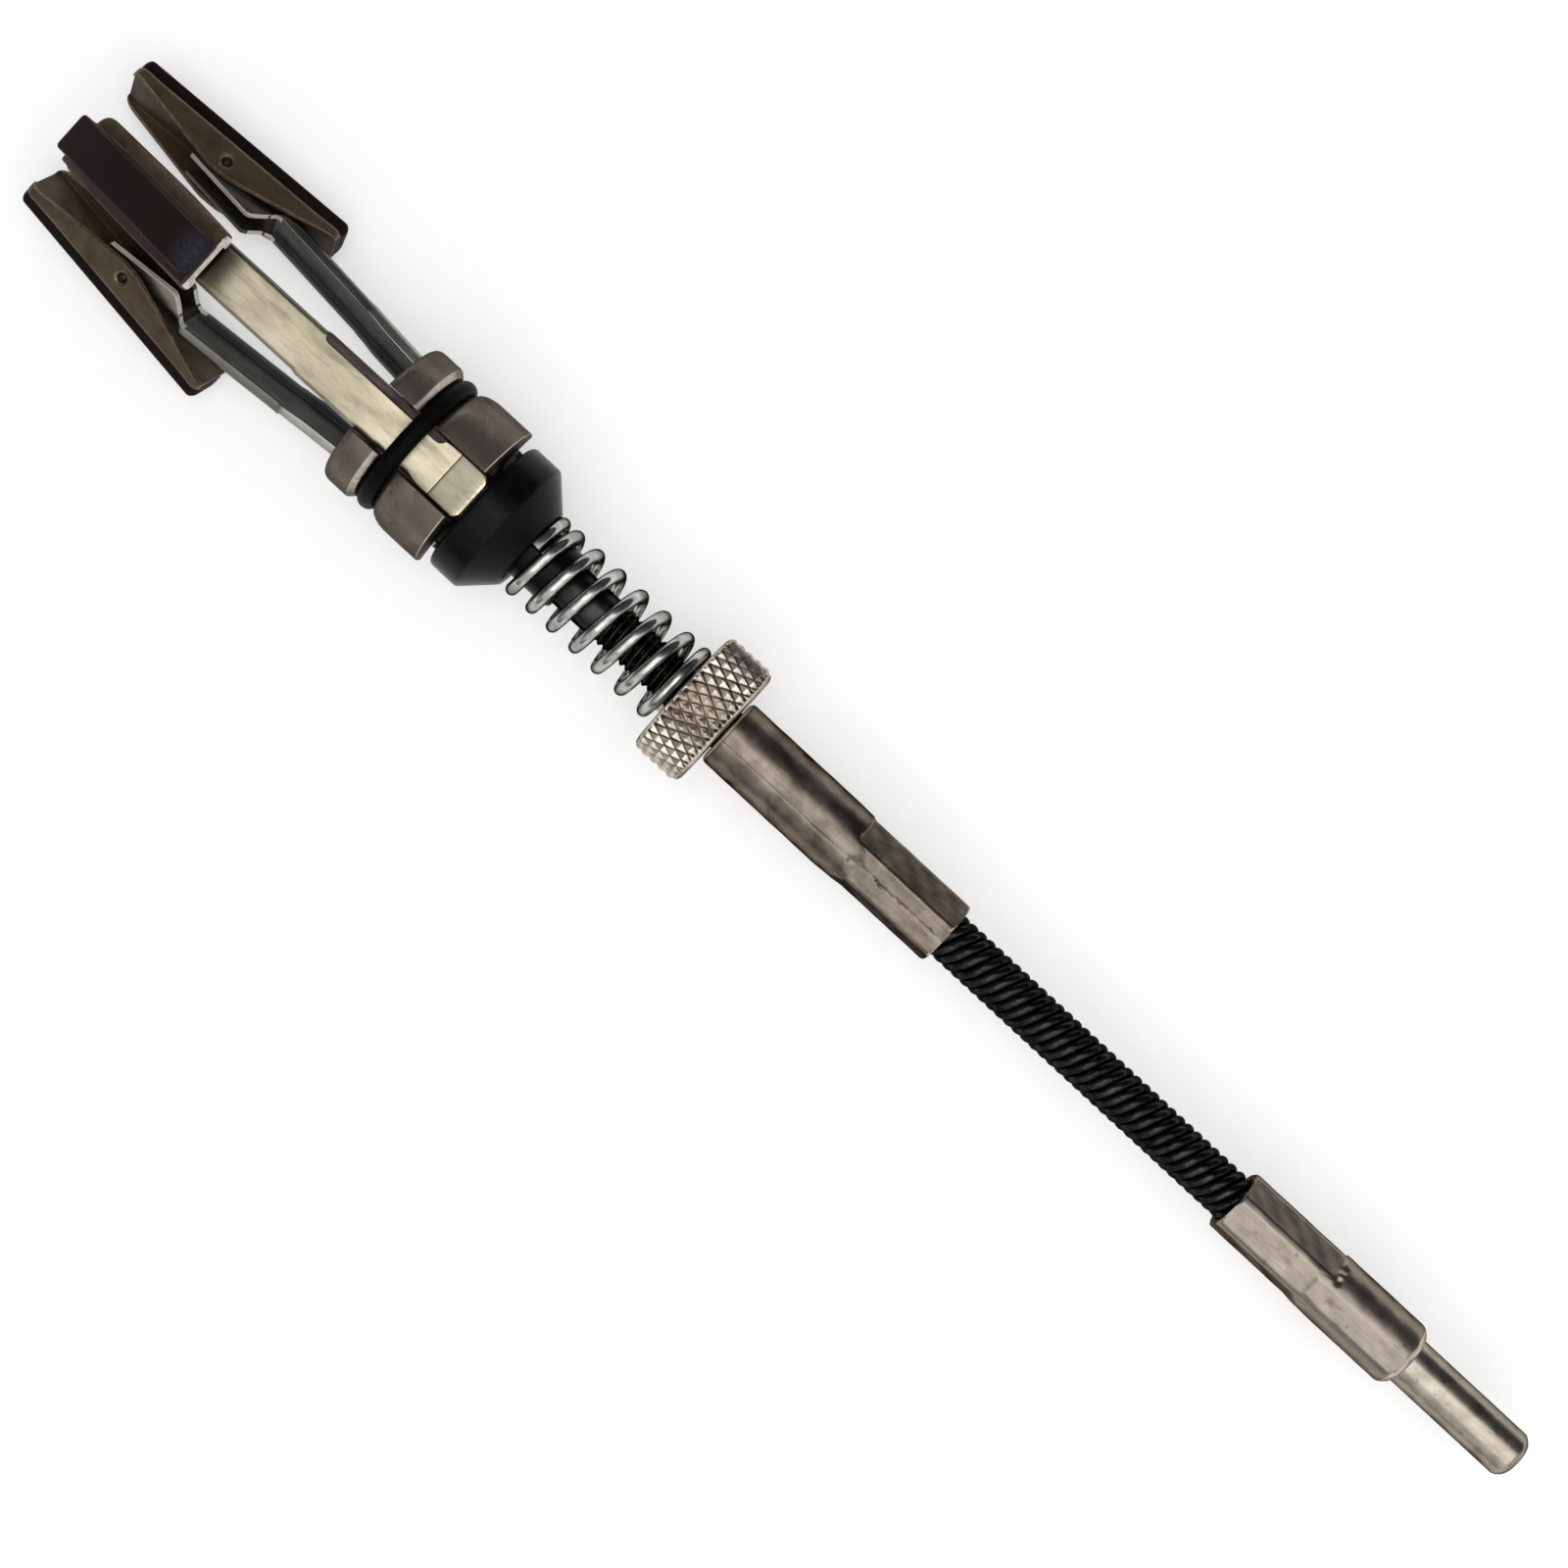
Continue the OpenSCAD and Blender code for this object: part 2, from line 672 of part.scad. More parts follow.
module shoe() {
  ear_y = shoe_w / 2 - shoe_t;
  boss_in = tip_w / 2 - arm_t;
  difference() {
    union() {
      intersection() {
        slab(shoe_w) ear_outline();
        for (s = [-1, 1]) translate([0, s * (shoe_w - shoe_t) / 2, 0])
          cube([4 * shoe_rise, shoe_t, 2 * shoe_l], center = true);
        front_cut(6 * shoe_rise) plate_plan();
      }
      translate([shoe_rise - shoe_t / 2, 0, 0]) front_cut(shoe_t) plate_plan();
      for (s = [-1, 1]) translate([0, s * (boss_in + ear_y) / 2, 0]) rotate([90, 0, 0])
        cylinder(h = ear_y - boss_in + 0.02, r = boss_d / 2, center = true);
    }
    for (s = [-1, 1]) translate([0, s * (shoe_w / 2 - dimple_depth / 2), 0]) rotate([90, 0, 0])
      cylinder(h = dimple_depth + 0.02, r = dimple_r, center = true);
  }
}

// Stone on the outer face of a shoe, with its ends rounded off
module stone() {
  z = stone_l / 2 - stone_corner;
  translate([shoe_rise, 0, 0]) intersection() {
    translate([stone_t / 2, 0, 0]) cube([stone_t, stone_w, stone_l], center = true);
    slab(stone_w + over) union() {
      translate([-over, -stone_l / 2]) square([stone_t + over - stone_corner, stone_l]);
      translate([0, -z]) square([stone_t, 2 * z]);
      for (s = [-1, 1]) translate([stone_t - stone_corner, s * z]) circle(r = stone_corner, $fn = 32);
    }
  }
}

// Places a shoe or stone on an arm's pivot, at its own tilt
module at_pivot(direction, tilt) {
  around(direction) at_hinge(arm_lean) translate([pivot_x, 0, pivot_z])
    rotate([0, -arm_lean - tilt, 0]) children();
}

module placed_shoe(direction, tilt) {
  color([0.36, 0.30, 0.24]) at_pivot(direction, tilt) shoe();
}
module placed_stone(direction, tilt) {
  color([0.14, 0.11, 0.10]) at_pivot(direction, tilt) stone();
}

module shoe_front() {
  placed_shoe(front_side, front_tilt);
}
module shoe_right() {
  placed_shoe(right_side, right_tilt);
}
module shoe_left() {
  placed_shoe(left_side, left_tilt);
}
module stone_front() {
  placed_stone(front_side, front_tilt);
}
module stone_right() {
  placed_stone(right_side, right_tilt);
}
module stone_left() {
  placed_stone(left_side, left_tilt);
}

drive_shank();
lower_ferrule();
flex_winding_lower();
flex_winding_middle();
flex_winding_upper();
flex_core_lower();
flex_core_middle();
flex_core_upper();
upper_ferrule();
spindle();
adjusting_nut();
coil_spring();
thrust_cup();
hub();
hub_ring();
arm_front();
arm_right();
arm_left();
shoe_front();
shoe_right();
shoe_left();
stone_front();
stone_right();
stone_left();
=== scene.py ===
import math

import bmesh
import bpy
import numpy as np
from mathutils import Matrix, Vector


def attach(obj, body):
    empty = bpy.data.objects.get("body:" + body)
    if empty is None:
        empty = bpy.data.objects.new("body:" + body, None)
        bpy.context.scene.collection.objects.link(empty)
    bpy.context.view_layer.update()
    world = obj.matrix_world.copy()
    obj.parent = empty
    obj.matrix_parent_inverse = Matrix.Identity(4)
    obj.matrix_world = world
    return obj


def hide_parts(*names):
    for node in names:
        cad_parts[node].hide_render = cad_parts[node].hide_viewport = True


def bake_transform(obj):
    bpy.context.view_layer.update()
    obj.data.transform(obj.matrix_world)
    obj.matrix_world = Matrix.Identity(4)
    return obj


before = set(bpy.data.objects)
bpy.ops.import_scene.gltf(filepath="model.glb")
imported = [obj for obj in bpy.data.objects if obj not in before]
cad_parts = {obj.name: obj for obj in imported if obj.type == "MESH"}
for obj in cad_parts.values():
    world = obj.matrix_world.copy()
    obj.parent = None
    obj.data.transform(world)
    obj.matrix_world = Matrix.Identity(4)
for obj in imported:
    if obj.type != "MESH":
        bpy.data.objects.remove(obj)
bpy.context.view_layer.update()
print("stage: frame loaded")

# Shared numbers, in millimetres on the tool's own axes
axisPlaces = {
    "shankEnd": -9.3,
    "shankTop": 8.7,
    "lowerMid": 21.7,
    "flexLow": 37.1,
    "flexTop": 84.2,
    "bendLow": 48.875,
    "bendTop": 72.425,
    "upperMid": 101.4,
    "upperTop": 120.3,
    "nutLow": 120.5,
    "nutTop": 127.6,
    "seat": 152.3,
    "cupTop": 160.4,
    "hubLow": 161.6,
    "hinge": 170.9,
    "hubTop": 177.0,
}
hingeRadius = 5.6
armLean = 5.3
pivotX = -0.7
pivotZ = 40.0
legs = {
    "front": {"direction": -90.0, "tilt": 38.0, "shadedSide": 0, "thin": 0.0},
    "right": {"direction": 30.0, "tilt": 3.0, "shadedSide": 1, "thin": 0.3},
    "left": {"direction": 150.0, "tilt": 8.8, "shadedSide": -1, "thin": 0.0},
}


def smoothStep(t):
    t = min(max(t, 0.0), 1.0)
    return t * t * (3 - 2 * t)


def between(value, low, high, start, end):
    return start + (end - start) * smoothStep((value - low) / (high - low))


def roundCorners(corners, radii, closed=True, steps=4):
    out = []
    count = len(corners)
    for i, corner in enumerate(corners):
        radius = radii[i] if isinstance(radii, (list, tuple)) else radii
        if radius <= 0 or (not closed and i in (0, count - 1)):
            out.append(tuple(corner))
            continue
        here = Vector(corner)
        back = Vector(corners[i - 1]) - here
        ahead = Vector(corners[(i + 1) % count]) - here
        reach = min(radius, 0.48 * back.length, 0.48 * ahead.length)
        start = here + back.normalized() * reach
        end = here + ahead.normalized() * reach
        for k in range(steps + 1):
            t = k / steps
            out.append(tuple(start * (1 - t) ** 2 + here * 2 * t * (1 - t) + end * t * t))
    return out


def splitEdges(outline, step, closed=False, beyond=0.0):
    # more points along each edge whose start lies beyond a radius
    rows = []
    for i, a in enumerate(outline if closed else outline[:-1]):
        b = outline[(i + 1) % len(outline)]
        count = max(1, int(math.dist(a, b) / step)) if a[0] > beyond else 1
        for k in range(count):
            rows.append((a[0] + (b[0] - a[0]) * k / count, a[1] + (b[1] - a[1]) * k / count))
    return rows if closed else rows + [outline[-1]]


def makePiece(name, points, faces, material, sharp=38):
    mesh = bpy.data.meshes.new(name)
    mesh.from_pydata([(x / 1000, y / 1000, z / 1000) for x, y, z in points], [], faces)
    tidy = bmesh.new()
    tidy.from_mesh(mesh)
    bmesh.ops.remove_doubles(tidy, verts=tidy.verts, dist=1e-7)
    bmesh.ops.recalc_face_normals(tidy, faces=tidy.faces)
    tidy.to_mesh(mesh)
    tidy.free()
    mesh.shade_smooth()
    mesh.set_sharp_from_angle(angle=math.radians(sharp))
    mesh.materials.append(material)
    piece = bpy.data.objects.new(name, mesh)
    bpy.context.scene.collection.objects.link(piece)
    return piece


def skinFaces(ringCount, ringSize, wrapRings=False, start=0):
    faces = []
    for i in range(ringCount if wrapRings else ringCount - 1):
        a = start + i * ringSize
        b = start + (i + 1) % ringCount * ringSize
        for k in range(ringSize):
            n = (k + 1) % ringSize
            faces.append((a + k, a + n, b + n, b + k))
    return faces


def loftPiece(name, rings, material, sharp=38, closed=False):
    # closed joins the last ring to the first, otherwise both ends are capped
    size = len(rings[0])
    points = [p for ring in rings for p in ring]
    faces = skinFaces(len(rings), size, closed)
    if not closed:
        faces.append(tuple(range(size)))
        faces.append(tuple(range(len(points) - size, len(points))))
    return makePiece(name, points, faces, material, sharp)


def lathePiece(name, outline, material, closed=False, segments=128, sharp=38, shape=None):
    # outline holds (radius, height), and shape may change the radius by angle
    rings = []
    for r, z in outline:
        ring = []
        for k in range(segments):
            a = 2 * math.pi * k / segments
            far = shape(r, z, a) if shape else r
            ring.append((far * math.cos(a), far * math.sin(a), z))
        rings.append(ring)
    return loftPiece(name, rings, material, sharp, closed)


def arcPoints(radius, first, last, steps, x=0.0, y=0.0):
    # points of an arc, from the first angle to the last in degrees
    angles = [math.radians(first + (last - first) * i / steps) for i in range(steps + 1)]
    return [(x + radius * math.cos(a), y + radius * math.sin(a)) for a in angles]


def tubeMesh(path, radius, sides, points, faces):
    # path holds (centre, outward, along) at each ring
    start = len(points)
    for centre, outward, along in path:
        side = along.cross(outward).normalized()
        for k in range(sides):
            a = 2 * math.pi * k / sides
            points.append(tuple(centre + radius * (math.cos(a) * outward + math.sin(a) * side)))
    faces.extend(skinFaces(len(path), sides, False, start))
    faces.append(tuple(range(start, start + sides)))
    faces.append(tuple(range(len(points) - sides, len(points))))


def atHinge(direction, lean=armLean):
    shift = Matrix.Translation((hingeRadius, 0, axisPlaces["hinge"]))
    about = Matrix.Rotation(math.radians(direction), 4, "Z")
    return about @ shift @ Matrix.Rotation(math.radians(lean), 4, "Y")


def atPivot(direction, tilt):
    shift = Matrix.Translation((pivotX, 0, pivotZ))
    return atHinge(direction) @ shift @ Matrix.Rotation(math.radians(-armLean - tilt), 4, "Y")


def movePoints(points, matrix):
    return [tuple(matrix @ Vector(p)) for p in points]


def localFaces(piece, matrix):
    # each face with its centre, in millimetres, and its normal, as the matrix's own part sees them
    inverse = matrix.inverted()
    turn = inverse.to_3x3()
    return [(face, inverse @ (face.center * 1000), turn @ face.normal) for face in piece.data.polygons]


def bakeModifiers(piece):
    bpy.context.view_layer.update()
    seen = piece.evaluated_get(bpy.context.evaluated_depsgraph_get())
    mesh = bpy.data.meshes.new_from_object(seen)
    piece.modifiers.clear()
    piece.data = mesh
    mesh.shade_smooth()
    mesh.set_sharp_from_angle(angle=math.radians(38))


def cutPiece(piece, cutters):
    for cutter in cutters:
        step = piece.modifiers.new("cut", "BOOLEAN")
        step.operation = "DIFFERENCE"
        step.solver = "EXACT"
        step.object = cutter
    bakeModifiers(piece)
    for cutter in cutters:
        bpy.data.objects.remove(cutter)


def bevelPiece(piece, width, angle):
    step = piece.modifiers.new("edge", "BEVEL")
    step.width = width / 1000
    step.segments = 2
    step.limit_method = "ANGLE"
    step.angle_limit = math.radians(angle)
    step.use_clamp_overlap = True
    bakeModifiers(piece)


# Materials: each has a noise behind its tone and its gloss, with grain, pits or painted shade on top,
# and a noise is (stretch along the tool, scale, detail, roughness, distortion)
white = (1, 1, 1)


def fillSockets(node, inputs):
    # each socket gets a value or another node's output
    for socket, value in inputs.items():
        if isinstance(value, bpy.types.NodeSocket):
            node.id_data.links.new(value, node.inputs[socket])
        else:
            node.inputs[socket].default_value = value


def nodeOut(tree, kind, inputs=None, output=0, **settings):
    node = tree.nodes.new("ShaderNode" + kind)
    for key, value in settings.items():
        setattr(node, key, value)
    fillSockets(node, inputs or {})
    return node.outputs[output] if node.outputs else node


def noiseOut(tree, stretch, scale, detail=4.0, rough=0.6, distort=0.0):
    place = nodeOut(tree, "TexCoord", None, "Object")
    scaled = nodeOut(tree, "Mapping", {"Vector": place, "Scale": (1000, 1000, 1000 * stretch)})
    return nodeOut(tree, "TexNoise", {
        "Vector": scaled, "Scale": scale, "Detail": detail, "Roughness": rough, "Distortion": distort,
    }, "Fac")


def rampOut(tree, value, stops):
    output = nodeOut(tree, "ValToRGB", {"Fac": value}, "Color")
    elements = output.node.color_ramp.elements
    for element, (place, color) in ((elements[0], stops[0]), (elements[1], stops[-1])):
        element.position = place
        element.color = (*color, 1)
    for place, color in stops[1:-1]:
        elements.new(place).color = (*color, 1)
    return output


def rangeOut(tree, value, low, high, outLow=0.0, outHigh=1.0):
    return nodeOut(tree, "MapRange", {
        "Value": value, "From Min": low, "From Max": high, "To Min": outLow, "To Max": outHigh,
    }, "Result")


def mixOut(tree, share, a, b, blend="MULTIPLY"):
    return nodeOut(tree, "Mix", {0: share, 6: a, 7: b}, 2, data_type="RGBA", blend_type=blend)


def placeOut(tree, kind, start, end, point=(0, 0, 0)):
    # 0 at start and 1 at end, in millimetres: the height along the tool, the distance from
    # its axis, or the distance from a point
    place = nodeOut(tree, "TexCoord", None, "Object")
    if kind == "height":
        value = nodeOut(tree, "SeparateXYZ", {0: place}, "Z")
    elif kind == "radius":
        flat = nodeOut(tree, "VectorMath", {0: place, 1: (1, 1, 0)}, operation="MULTIPLY")
        value = nodeOut(tree, "VectorMath", {0: flat}, "Value", operation="LENGTH")
    else:
        spot = [side / 1000 for side in point]
        value = nodeOut(tree, "VectorMath", {0: place, 1: spot}, "Value", operation="DISTANCE")
    return rangeOut(tree, value, start / 1000, end / 1000)


def sheenAndWearSpot(tree, color):
    # a bluish patch near the hub's end of the front stone: a painted sheen on its rounded end, with a worn,
    # streaky grain
    near = placeOut(tree, "spot", 4.3, 1.0, (-0.2, -22.6, 201.6))
    streak = rampOut(tree, noiseOut(tree, 0.18, 2.2, 4.0, 0.65), [(0.36, (0.35, 0.35, 0.35)), (0.66, white)])
    return mixOut(tree, mixOut(tree, 1.0, near, streak), color, (0.046, 0.049, 0.060, 1), "MIX")


def makeLook(name, metallic, specular, patch, tone, rough, over=(), bumps=(), rim=0.12, sheenAndWear=None):
    # rough: one value, or the values at the patch's low and high ends and, if it isn't 0.3, that low end
    # over: (share, source, stops) to darken by; bumps: (noise, strength, depth)
    # rim: how bright a metal stays where it is seen at a grazing angle
    material = bpy.data.materials.new(name)
    material.use_nodes = True
    tree = material.node_tree
    shader = tree.nodes["Principled BSDF"]
    fillSockets(shader, {"Metallic": metallic, "Specular IOR Level": specular})
    if metallic > 0.5:
        fillSockets(shader, {"Specular Tint": (rim, rim * 0.96, rim * 0.92, 1)})
    spread = noiseOut(tree, *patch)
    color = rampOut(tree, spread, tone)
    # an optional spot of painted sheen and wear goes over the tone
    if sheenAndWear:
        color = sheenAndWear(tree, color)
    for share, source, stops in over:
        value = placeOut(tree, *source) if isinstance(source[0], str) else noiseOut(tree, *source)
        color = mixOut(tree, share, color, rampOut(tree, value, stops))
    if isinstance(rough, tuple):
        start, end, low = (*rough, 0.3)[:3]
        rough = rangeOut(tree, spread, low, 0.7, start, end)
    fillSockets(shader, {"Base Color": color, "Roughness": rough})
    normal = None
    for noise, strength, depth in bumps:
        inputs = {"Height": noiseOut(tree, *noise), "Strength": strength, "Distance": depth / 1000}
        if normal:
            inputs["Normal"] = normal
        normal = nodeOut(tree, "Bump", inputs)
    if normal:
        fillSockets(shader, {"Normal": normal})
    return material


def wornMetal(name, tones, rough, stretch, grainScale, patchScale, streak, grainBump, fineBump,
              pits=0, pitBump=0, rim=0.12):
    # turned or pressed metal with a grain along it, and small pits where pits isn't 0
    grain = (stretch, grainScale, 5.0)
    over = [(streak, grain, [(0.32, (0.62, 0.62, 0.62)), (0.55, white)])]
    bumps = [(grain, grainBump, 0.03)]
    if pits:
        pit = (0.6, pits, 2.0, 0.5, 0.2)
        over.append((0.5, pit, [(0.26, (0.35, 0.32, 0.29)), (0.34, white)]))
        bumps.append((pit, pitBump, 0.08))
    bumps.append(((1, 3.5, 3.0), fineBump, 0.02))
    tone = list(zip((0.3, 0.5, 0.72), tones))
    return makeLook(name, 1.0, 0.5, (1, patchScale, 4.0, 0.6, 0.4), tone, rough, over, bumps, rim)


def nutSteel(name, valleyShade):
    tone = [(0.3, (0.48, 0.415, 0.35)), (0.5, (0.62, 0.545, 0.47)), (0.72, (0.80, 0.72, 0.63))]
    fine = ((1, 3.5, 3.0), 0.12, 0.03)
    return makeLook(name, 1.0, 0.5, (1, 0.5, 4.0, 0.6, 0.4), tone, (0.26, 0.38), valleyShade, [fine])


def bronzedSheet(name, metallic, specular):
    fine = (1, 3.0)
    tone = [
        (0.28, (0.052, 0.032, 0.020)), (0.46, (0.085, 0.058, 0.034)),
        (0.64, (0.112, 0.081, 0.048)), (0.82, (0.145, 0.112, 0.070)),
    ]
    mottle = (0.4, fine, [(0.35, (0.75, 0.73, 0.7)), (0.6, white)])
    return makeLook(name, metallic, specular, (0.7, 0.30, 5.0, 0.62, 0.6), tone, (0.48, 0.34),
                    [mottle], [(fine, 0.12, 0.03)])


# painted shade in the knurl's valleys, darkest at their floor
valleyShadeBand = [(0.0, (0.05, 0.04, 0.035)), (0.2, (0.18, 0.16, 0.14)), (0.42, white)]
# the web is lighter at its tail and darker up towards the shoe, where a painted shadow of the shoe turns it dark
# grey green
webShadeBand = [
    (0.110, white), (0.122, (0.66, 0.66, 0.66)), (0.32, (0.62, 0.61, 0.60)), (0.44, (0.54, 0.53, 0.52)),
    (0.79, (0.50, 0.49, 0.48)), (0.835, (0.38, 0.38, 0.37)), (0.87, (0.17, 0.18, 0.17)),
    (0.91, (0.10, 0.11, 0.105)), (1.0, (0.08, 0.09, 0.085)),
]
# painted reflection of the dark shoes: the flanges are darker above about 186 mm and lighter below, round the ring
flangeReflectionBand = [
    (0.31, white), (0.33, (0.46, 0.46, 0.45)), (0.6, (0.52, 0.52, 0.50)), (1.0, (0.60, 0.60, 0.57)),
]
webGrain, stonePores, hubPores = (0.06, 3.0), (1, 6.0, 3.0, 0.7), (1, 5.0, 3.0, 0.7)

looks = {
    "lowerFerrule": wornMetal(
        "lowerFerruleSteel", ((0.21, 0.181, 0.153), (0.285, 0.246, 0.207), (0.345, 0.30, 0.255)),
        (0.26, 0.36), 0.05, 2.6, 0.25, 0.45, 0.18, 0.10, 1.1, 0.15),
    "upperFerrule": wornMetal(
        "upperFerruleSteel", ((0.10, 0.083, 0.067), (0.185, 0.154, 0.126), (0.30, 0.257, 0.215)),
        (0.26, 0.38), 0.06, 2.4, 0.24, 0.6, 0.22, 0.10, 0.9, 0.2),
    "shank": wornMetal(
        "shankSteel", ((0.25, 0.218, 0.18), (0.36, 0.32, 0.265), (0.46, 0.415, 0.35)),
        (0.20, 0.32), 0.08, 2.4, 0.4, 0.4, 0.14, 0.08, 1.8, 0.12),
    "spring": wornMetal(
        "springSteel", ((0.30, 0.31, 0.29), (0.46, 0.47, 0.44), (0.66, 0.67, 0.64)),
        (0.10, 0.17), 1, 0.9, 0.7, 0.5, 0.12, 0.05, rim=0.03),
    "hubEdgeAndHighlight": wornMetal(
        "turnedIronHighlight", ((0.36, 0.325, 0.285), (0.50, 0.46, 0.41), (0.64, 0.60, 0.54)),
        (0.26, 0.40), 1, 2.6, 0.8, 0.3, 0.10, 0.08),
    # the knurl gets painted shade in its valleys
    "nut": nutSteel("nutSteel", [(1.0, ("radius", 8.28, 8.78), valleyShadeBand)]),
    "nutPlain": nutSteel("nutPlain", []),
    # the web's band paints the shoe's shadow below the shoe
    "arm": makeLook(
        "platedSheet", 1.0, 0.5, (0.28, 0.42, 5.0, 0.62, 0.4),
        [(0.26, (0.36, 0.345, 0.27)), (0.42, (0.54, 0.49, 0.36)), (0.58, (0.65, 0.585, 0.44)),
         (0.80, (0.74, 0.68, 0.53))], (0.42, 0.28),
        [(0.5, webGrain, [(0.3, (0.6, 0.60, 0.56)), (0.5, white)]), (1.0, ("height", 160, 206), webShadeBand)],
        [(webGrain, 0.10, 0.02), ((0.5, 0.45, 3.0, 0.55), 0.25, 0.15)]),
    # painted shade: dark green for the channels' insides, the lobes in the hub's slots, the side arms' ledges and
    # one side's prong edges
    "armInnerShade": makeLook(
        "shadedSheetGreen", 0.35, 0.25, (0.4, 0.4, 5.0, 0.6, 0.4),
        [(0.3, (0.046, 0.052, 0.043)), (0.5, (0.070, 0.075, 0.063)), (0.75, (0.100, 0.102, 0.086))],
        (0.46, 0.34), (), [((0.1, 2.5), 0.12, 0.03)]),
    # the flange band paints the shoes' dark reflection on the upper flanges
    "sheetZinc": makeLook(
        "sheetZinc", 1.0, 0.5, (0.4, 0.4, 4.0, 0.6, 0.4),
        [(0.3, (0.34, 0.34, 0.315)), (0.5, (0.46, 0.458, 0.42)), (0.72, (0.58, 0.57, 0.53))], (0.30, 0.42),
        [(1.0, ("height", 170, 220), flangeReflectionBand)], [((0.06, 2.6), 0.12, 0.03)]),
    # bright sheared edges of the fork
    "cutZinc": makeLook(
        "cutZinc", 0.55, 0.5, (0.3, 0.9), [(0.3, (0.52, 0.50, 0.45)), (0.7, (0.82, 0.80, 0.72))],
        0.34, (), [((0.3, 0.9), 0.15, 0.04)], 0.25),
    # dark brown strip on the ledge beside the stamped web: painted shade in the step
    "sheetShade": makeLook(
        "sheetShade", 0.4, 0.2, (0.12, 1.1, 5.0, 0.6, 0.3),
        [(0.3, (0.016, 0.011, 0.010)), (0.5, (0.040, 0.029, 0.026)), (0.72, (0.095, 0.075, 0.068))],
        0.45, (), [((0.12, 1.1, 5.0, 0.6, 0.3), 0.15, 0.04)]),
    "shoe": bronzedSheet("bronzedSheet", 0.35, 0.25),
    # the front shoe's copy of the bronzed sheet has less shine: a painted shade that renders it darker
    "shoeFrontShaded": bronzedSheet("bronzedFrontShaded", 0.1, 0.03),
    # bronze worn lighter on cut edges, and lighter round the pressed bosses as a painted highlight on the dished
    # lips
    "shoeWornAndLit": makeLook(
        "bronzedWornAndLit", 0.7, 0.3, (1, 1.5), [(0.3, (0.115, 0.085, 0.058)), (0.7, (0.26, 0.20, 0.145))],
        0.36, (), [((1, 1.5), 0.2, 0.04)]),
    # bare steel with a painted highlight, for the front shoe's hub end
    "bareEdgeAndHighlight": makeLook(
        "bareEdgeAndHighlight", 1.0, 0.5, (1, 1.5), [(0.3, (0.50, 0.44, 0.39)), (0.7, (0.80, 0.73, 0.67))],
        0.34, (), [((1, 1.5), 0.2, 0.04)], 0.4),
    "pit": makeLook(
        "pitDark", 0.3, 0.15, (1, 2.0, 3.0), [(0.3, (0.010, 0.008, 0.006)), (0.7, (0.028, 0.022, 0.017))], 0.6),
    "stone": makeLook(
        "abrasiveStone", 0.0, 0.055, (0.6, 0.22, 5.0, 0.6, 0.5),
        [(0.3, (0.0090, 0.0070, 0.0052)), (0.5, (0.0130, 0.0085, 0.0062)), (0.68, (0.019, 0.0090, 0.0075)),
         (0.84, (0.030, 0.013, 0.012))], (0.36, 0.6, 0.35),
        [(0.7, stonePores, [(0.35, (0.6, 0.55, 0.55)), (0.55, white)])],
        [((0.15, 2.0), 0.2, 0.05), (stonePores, 0.25, 0.04)], sheenAndWear=sheenAndWearSpot),
    "bond": makeLook(
        "stoneBond", 0.0, 0.3, (1, 0.9), [(0.35, (0.020, 0.0065, 0.0075)), (0.7, (0.065, 0.014, 0.015))],
        0.5, (), [((1, 0.9), 0.3, 0.08)]),
    "hub": makeLook(
        "sinteredIron", 0.8, 0.5, (1, 0.20, 5.0, 0.6, 0.4),
        [(0.28, (0.125, 0.104, 0.085)), (0.5, (0.185, 0.157, 0.130)), (0.75, (0.25, 0.215, 0.182))], (0.46, 0.34),
        [(0.7, (1, 0.42, 3.0, 0.6, 1.2), [(0.30, (0.35, 0.34, 0.34)), (0.38, white)]),
         (0.5, hubPores, [(0.34, (0.5, 0.47, 0.45)), (0.46, white)])], [(hubPores, 0.18, 0.04)]),
    "cup": makeLook(
        "blackCup", 0.0, 0.09, (1, 0.6), [(0.3, (0.0016, 0.0018, 0.0022)), (0.75, (0.0040, 0.0045, 0.0062))],
        (0.24, 0.36), (), [((1, 5.0, 3.0), 0.08, 0.03)]),
    "winding": makeLook(
        "windingSteel", 0.9, 0.4, (1, 0.8), [(0.3, (0.006, 0.006, 0.006)), (0.7, (0.045, 0.045, 0.045))],
        (0.13, 0.22), (), [((1, 4.0, 3.0), 0.12, 0.03)], 0.02),
    "spindle": makeLook(
        "spindleSteel", 1.0, 0.5, (1, 0.6), [(0.3, (0.026, 0.025, 0.023)), (0.7, (0.062, 0.061, 0.056))],
        (0.28, 0.40), rim=0.02),
    "ring": makeLook(
        "ringRubber", 0.0, 0.04, (1, 1.2), [(0.3, (0.0018, 0.0018, 0.0020)), (0.75, (0.0045, 0.0045, 0.0048))],
        (0.40, 0.55), (), [((1, 1.2), 0.15, 0.05)]),
}
print("stage: materials made")

# Shank
shankSizes = {"radius": 3.175, "chamfer": 0.75, "chamferHigh": 0.85, "bore": 0.3, "plug": 2.875, "plugTop": 16.6}


def makeShank():
    s = shankSizes
    low, top = axisPlaces["shankEnd"], axisPlaces["shankTop"]
    corners = [
        (s["bore"], low), (s["radius"] - s["chamfer"], low), (s["radius"], low + s["chamferHigh"]),
        (s["radius"], top), (s["plug"], top + 0.05), (s["plug"], s["plugTop"]), (s["bore"], s["plugTop"]),
    ]
    outline = roundCorners(corners, [0, 0.35, 0.4, 0, 0, 0, 0], False)
    piece = lathePiece("shankBody", outline, looks["shank"], segments=96)
    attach(piece, "shank")
    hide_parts("drive_shank")


makeShank()

